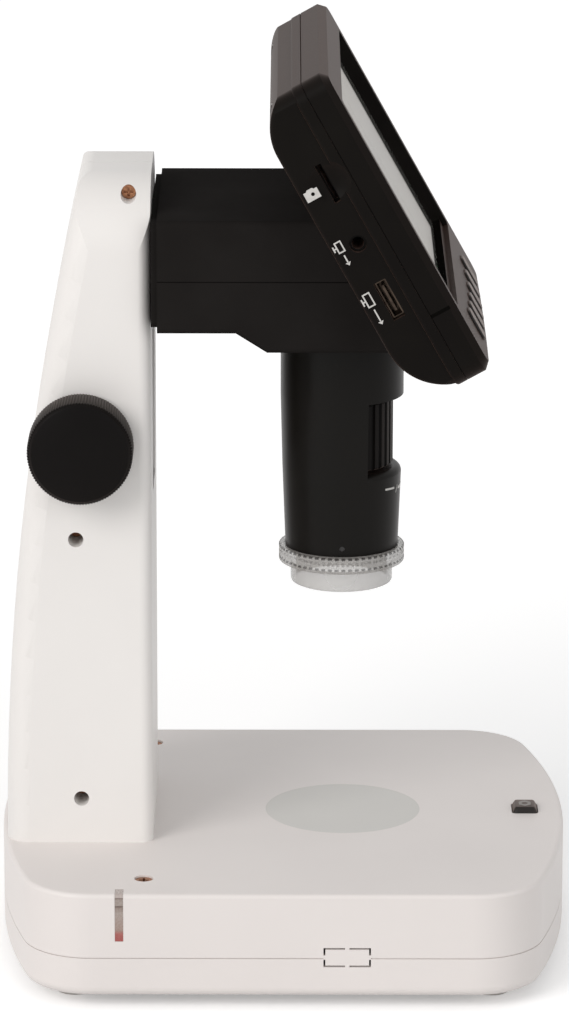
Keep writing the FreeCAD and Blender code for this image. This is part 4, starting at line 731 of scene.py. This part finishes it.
# Small signs on the menu keys, from left to right: mm below the key's upper edge, share of the usual ink
keyMark = {"down": 4.4, "thickness": 0.5}
keySigns = [
    hollowBar(-1.3, -1.3, 1.3, 1.3, 0.35),
    [[(-1.4, -1.0), (1.4, -1.0), (0, 1.3)]],
    [[(-1.4, 1.0), (0, -1.3), (1.4, 1.0)]],
    [disc(0, 0, 0.9)],
    [bar(-1.3, 0.7, 1.3, 1.05), bar(-1.3, -0.17, 1.3, 0.17), bar(-1.3, -1.05, 1.3, -0.7)],
    [bar(-0.17, 0.1, 0.17, 1.6)] + hollowBar(-1.2, -1.4, 1.2, 0.9, 0.35),
]


def makeKeySign(number, outlines):
    node = "menu_key_%d" % number
    low, high = (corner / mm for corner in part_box(node))
    top = screenUnit["faceOut"] + screenUnit["keyProud"]
    tilt = math.radians(screenUnit["tilt"])
    # The highest point of the key's box is the upper edge of its top
    upper = (screenUnit["edgeZ"] + top * math.sin(tilt) - high.z) / math.cos(tilt)
    middle = (low.x + high.x) / 2
    centre = upper + keyMark["down"]
    addMarks("mark_key_%d" % number, outlines,
             lambda a, b, height: onScreenUnit(middle + a, centre - b, top + height * keyMark["thickness"]),
             node, greyInk, "white_abs")


for i, outlines in enumerate(keySigns):
    makeKeySign(i + 1, outlines)
print("printed marks made")

# Camera at the photograph's viewpoint, as fitted to the base, column and tube

view = {"place": (-1.6171, -0.0010, 0.5787), "down": 15.49, "turn": -0.0286, "roll": 0.0802, "lens": 194.6,
        "sensor": 36, "reach": 50}


def makeCamera():
    camera = bpy.data.objects.new("camera", bpy.data.cameras.new("camera"))
    bpy.context.scene.collection.objects.link(camera)
    camera.data.lens = view["lens"]
    camera.data.sensor_width = view["sensor"]
    camera.data.clip_end = view["reach"]
    down, turn, roll = (math.radians(view[k]) for k in ("down", "turn", "roll"))
    forward = Vector((math.cos(turn) * math.cos(down), -math.sin(turn) * math.cos(down), -math.sin(down)))
    right = forward.cross(Vector((0, 0, 1))).normalized()
    up = right.cross(forward)
    tilted = right * math.cos(roll) + up * math.sin(roll)
    up = up * math.cos(roll) - right * math.sin(roll)
    camera.matrix_world = Matrix((tilted, up, -forward)).transposed().to_4x4()
    camera.location = view["place"]
    bpy.context.scene.camera = camera


makeCamera()

# Studio: white floor and surroundings, one large soft light at the left and a weaker one at the right. The
# camera sees the paper with some light of its own, and less of it near the part, a painted shade that keeps
# the shadow there grey

studio = {"floorSize": 8.0, "floorColour": "#E8E8E8", "seenColour": "#FFFFFF", "floorLift": (0.26, 0.44),
          "paintedShadeReach": (0.22, 0.75), "world": 0.55, "sky": "#FFFFFF"}
softboxes = {
    "key": {"place": (-1.15, 1.05, 0.95), "aim": (0, 0.0, 0.12), "size": (1.0, 1.0), "power": 14.0,
            "colour": "#FFFCFA"},
    "fill": {"place": (-1.3, -1.0, 0.7), "aim": (0, 0, 0.1), "size": (0.9, 0.9), "power": 4.0,
             "colour": "#FFFFFF"},
}


def seenRay(tree):
    # One for the rays that show a surface: from the camera, through something clear or in a reflection
    path = addNode(tree, "ShaderNodeLightPath").outputs
    shown = calculate(tree, "MAXIMUM", path["Is Camera Ray"], path["Is Transmission Ray"])
    return calculate(tree, "MAXIMUM", shown, path["Is Glossy Ray"])


def makeFloor():
    half = studio["floorSize"] / 2
    mesh = bpy.data.meshes.new("floor")
    corners = [(-half, -half, 0), (half, -half, 0), (half, half, 0), (-half, half, 0)]
    mesh.from_pydata(corners, [], [(0, 1, 2, 3)])
    floor = bpy.data.objects.new("floor", mesh)
    bpy.context.scene.collection.objects.link(floor)
    material, tree, place = newMaterial("paper_sweep")
    paper = addNode(tree, "ShaderNodeBsdfDiffuse", {"Color": linear(studio["floorColour"])})
    seenPaper = addNode(tree, "ShaderNodeBsdfDiffuse", {"Color": linear(studio["seenColour"])})
    distance = addNode(tree, "ShaderNodeVectorMath", {"operation": "LENGTH"}, {0: place}).outputs["Value"]
    (near, far), (low, high) = studio["paintedShadeReach"], studio["floorLift"]
    # Painted shade: the paper's own light is weaker near the part
    lift = addNode(tree, "ShaderNodeMapRange",
                   {"From Min": near, "From Max": far, "To Min": low, "To Max": high}, {"Value": distance})
    glow = addNode(tree, "ShaderNodeEmission", {"Color": (1, 1, 1, 1)}, {"Strength": lift.outputs["Result"]})
    both = addNode(tree, "ShaderNodeAddShader", links={0: seenPaper.outputs[0], 1: glow.outputs[0]})
    mix = addNode(tree, "ShaderNodeMixShader",
                  links={0: seenRay(tree), 1: paper.outputs[0], 2: both.outputs[0]})
    addNode(tree, "ShaderNodeOutputMaterial", links={"Surface": mix.outputs[0]})
    mesh.materials.append(material)


def makeWorld():
    world = bpy.data.worlds.new("studio")
    bpy.context.scene.world = world
    world.use_nodes = True
    tree = world.node_tree
    tree.nodes.clear()
    light = addNode(tree, "ShaderNodeBackground",
                    {"Color": linear(studio["sky"]), "Strength": studio["world"]})
    white = addNode(tree, "ShaderNodeBackground", {"Color": (1, 1, 1, 1), "Strength": 1.0})
    mix = addNode(tree, "ShaderNodeMixShader",
                  links={0: seenRay(tree), 1: light.outputs[0], 2: white.outputs[0]})
    addNode(tree, "ShaderNodeOutputWorld", links={"Surface": mix.outputs[0]})


def makeSoftbox(name, box):
    lamp = bpy.data.lights.new(name, "AREA")
    lamp.shape = "RECTANGLE"
    lamp.size, lamp.size_y = box["size"]
    lamp.energy = box["power"]
    lamp.color = linear(box["colour"])[:3]
    thing = bpy.data.objects.new(name, lamp)
    bpy.context.scene.collection.objects.link(thing)
    thing.location = box["place"]
    aim = Vector(box["aim"]) - Vector(box["place"])
    thing.rotation_euler = aim.to_track_quat("-Z", "Y").to_euler()


makeFloor()
makeWorld()
for name, box in softboxes.items():
    makeSoftbox(name, box)
bpy.context.scene.view_settings.view_transform = "Standard"
print("studio made")
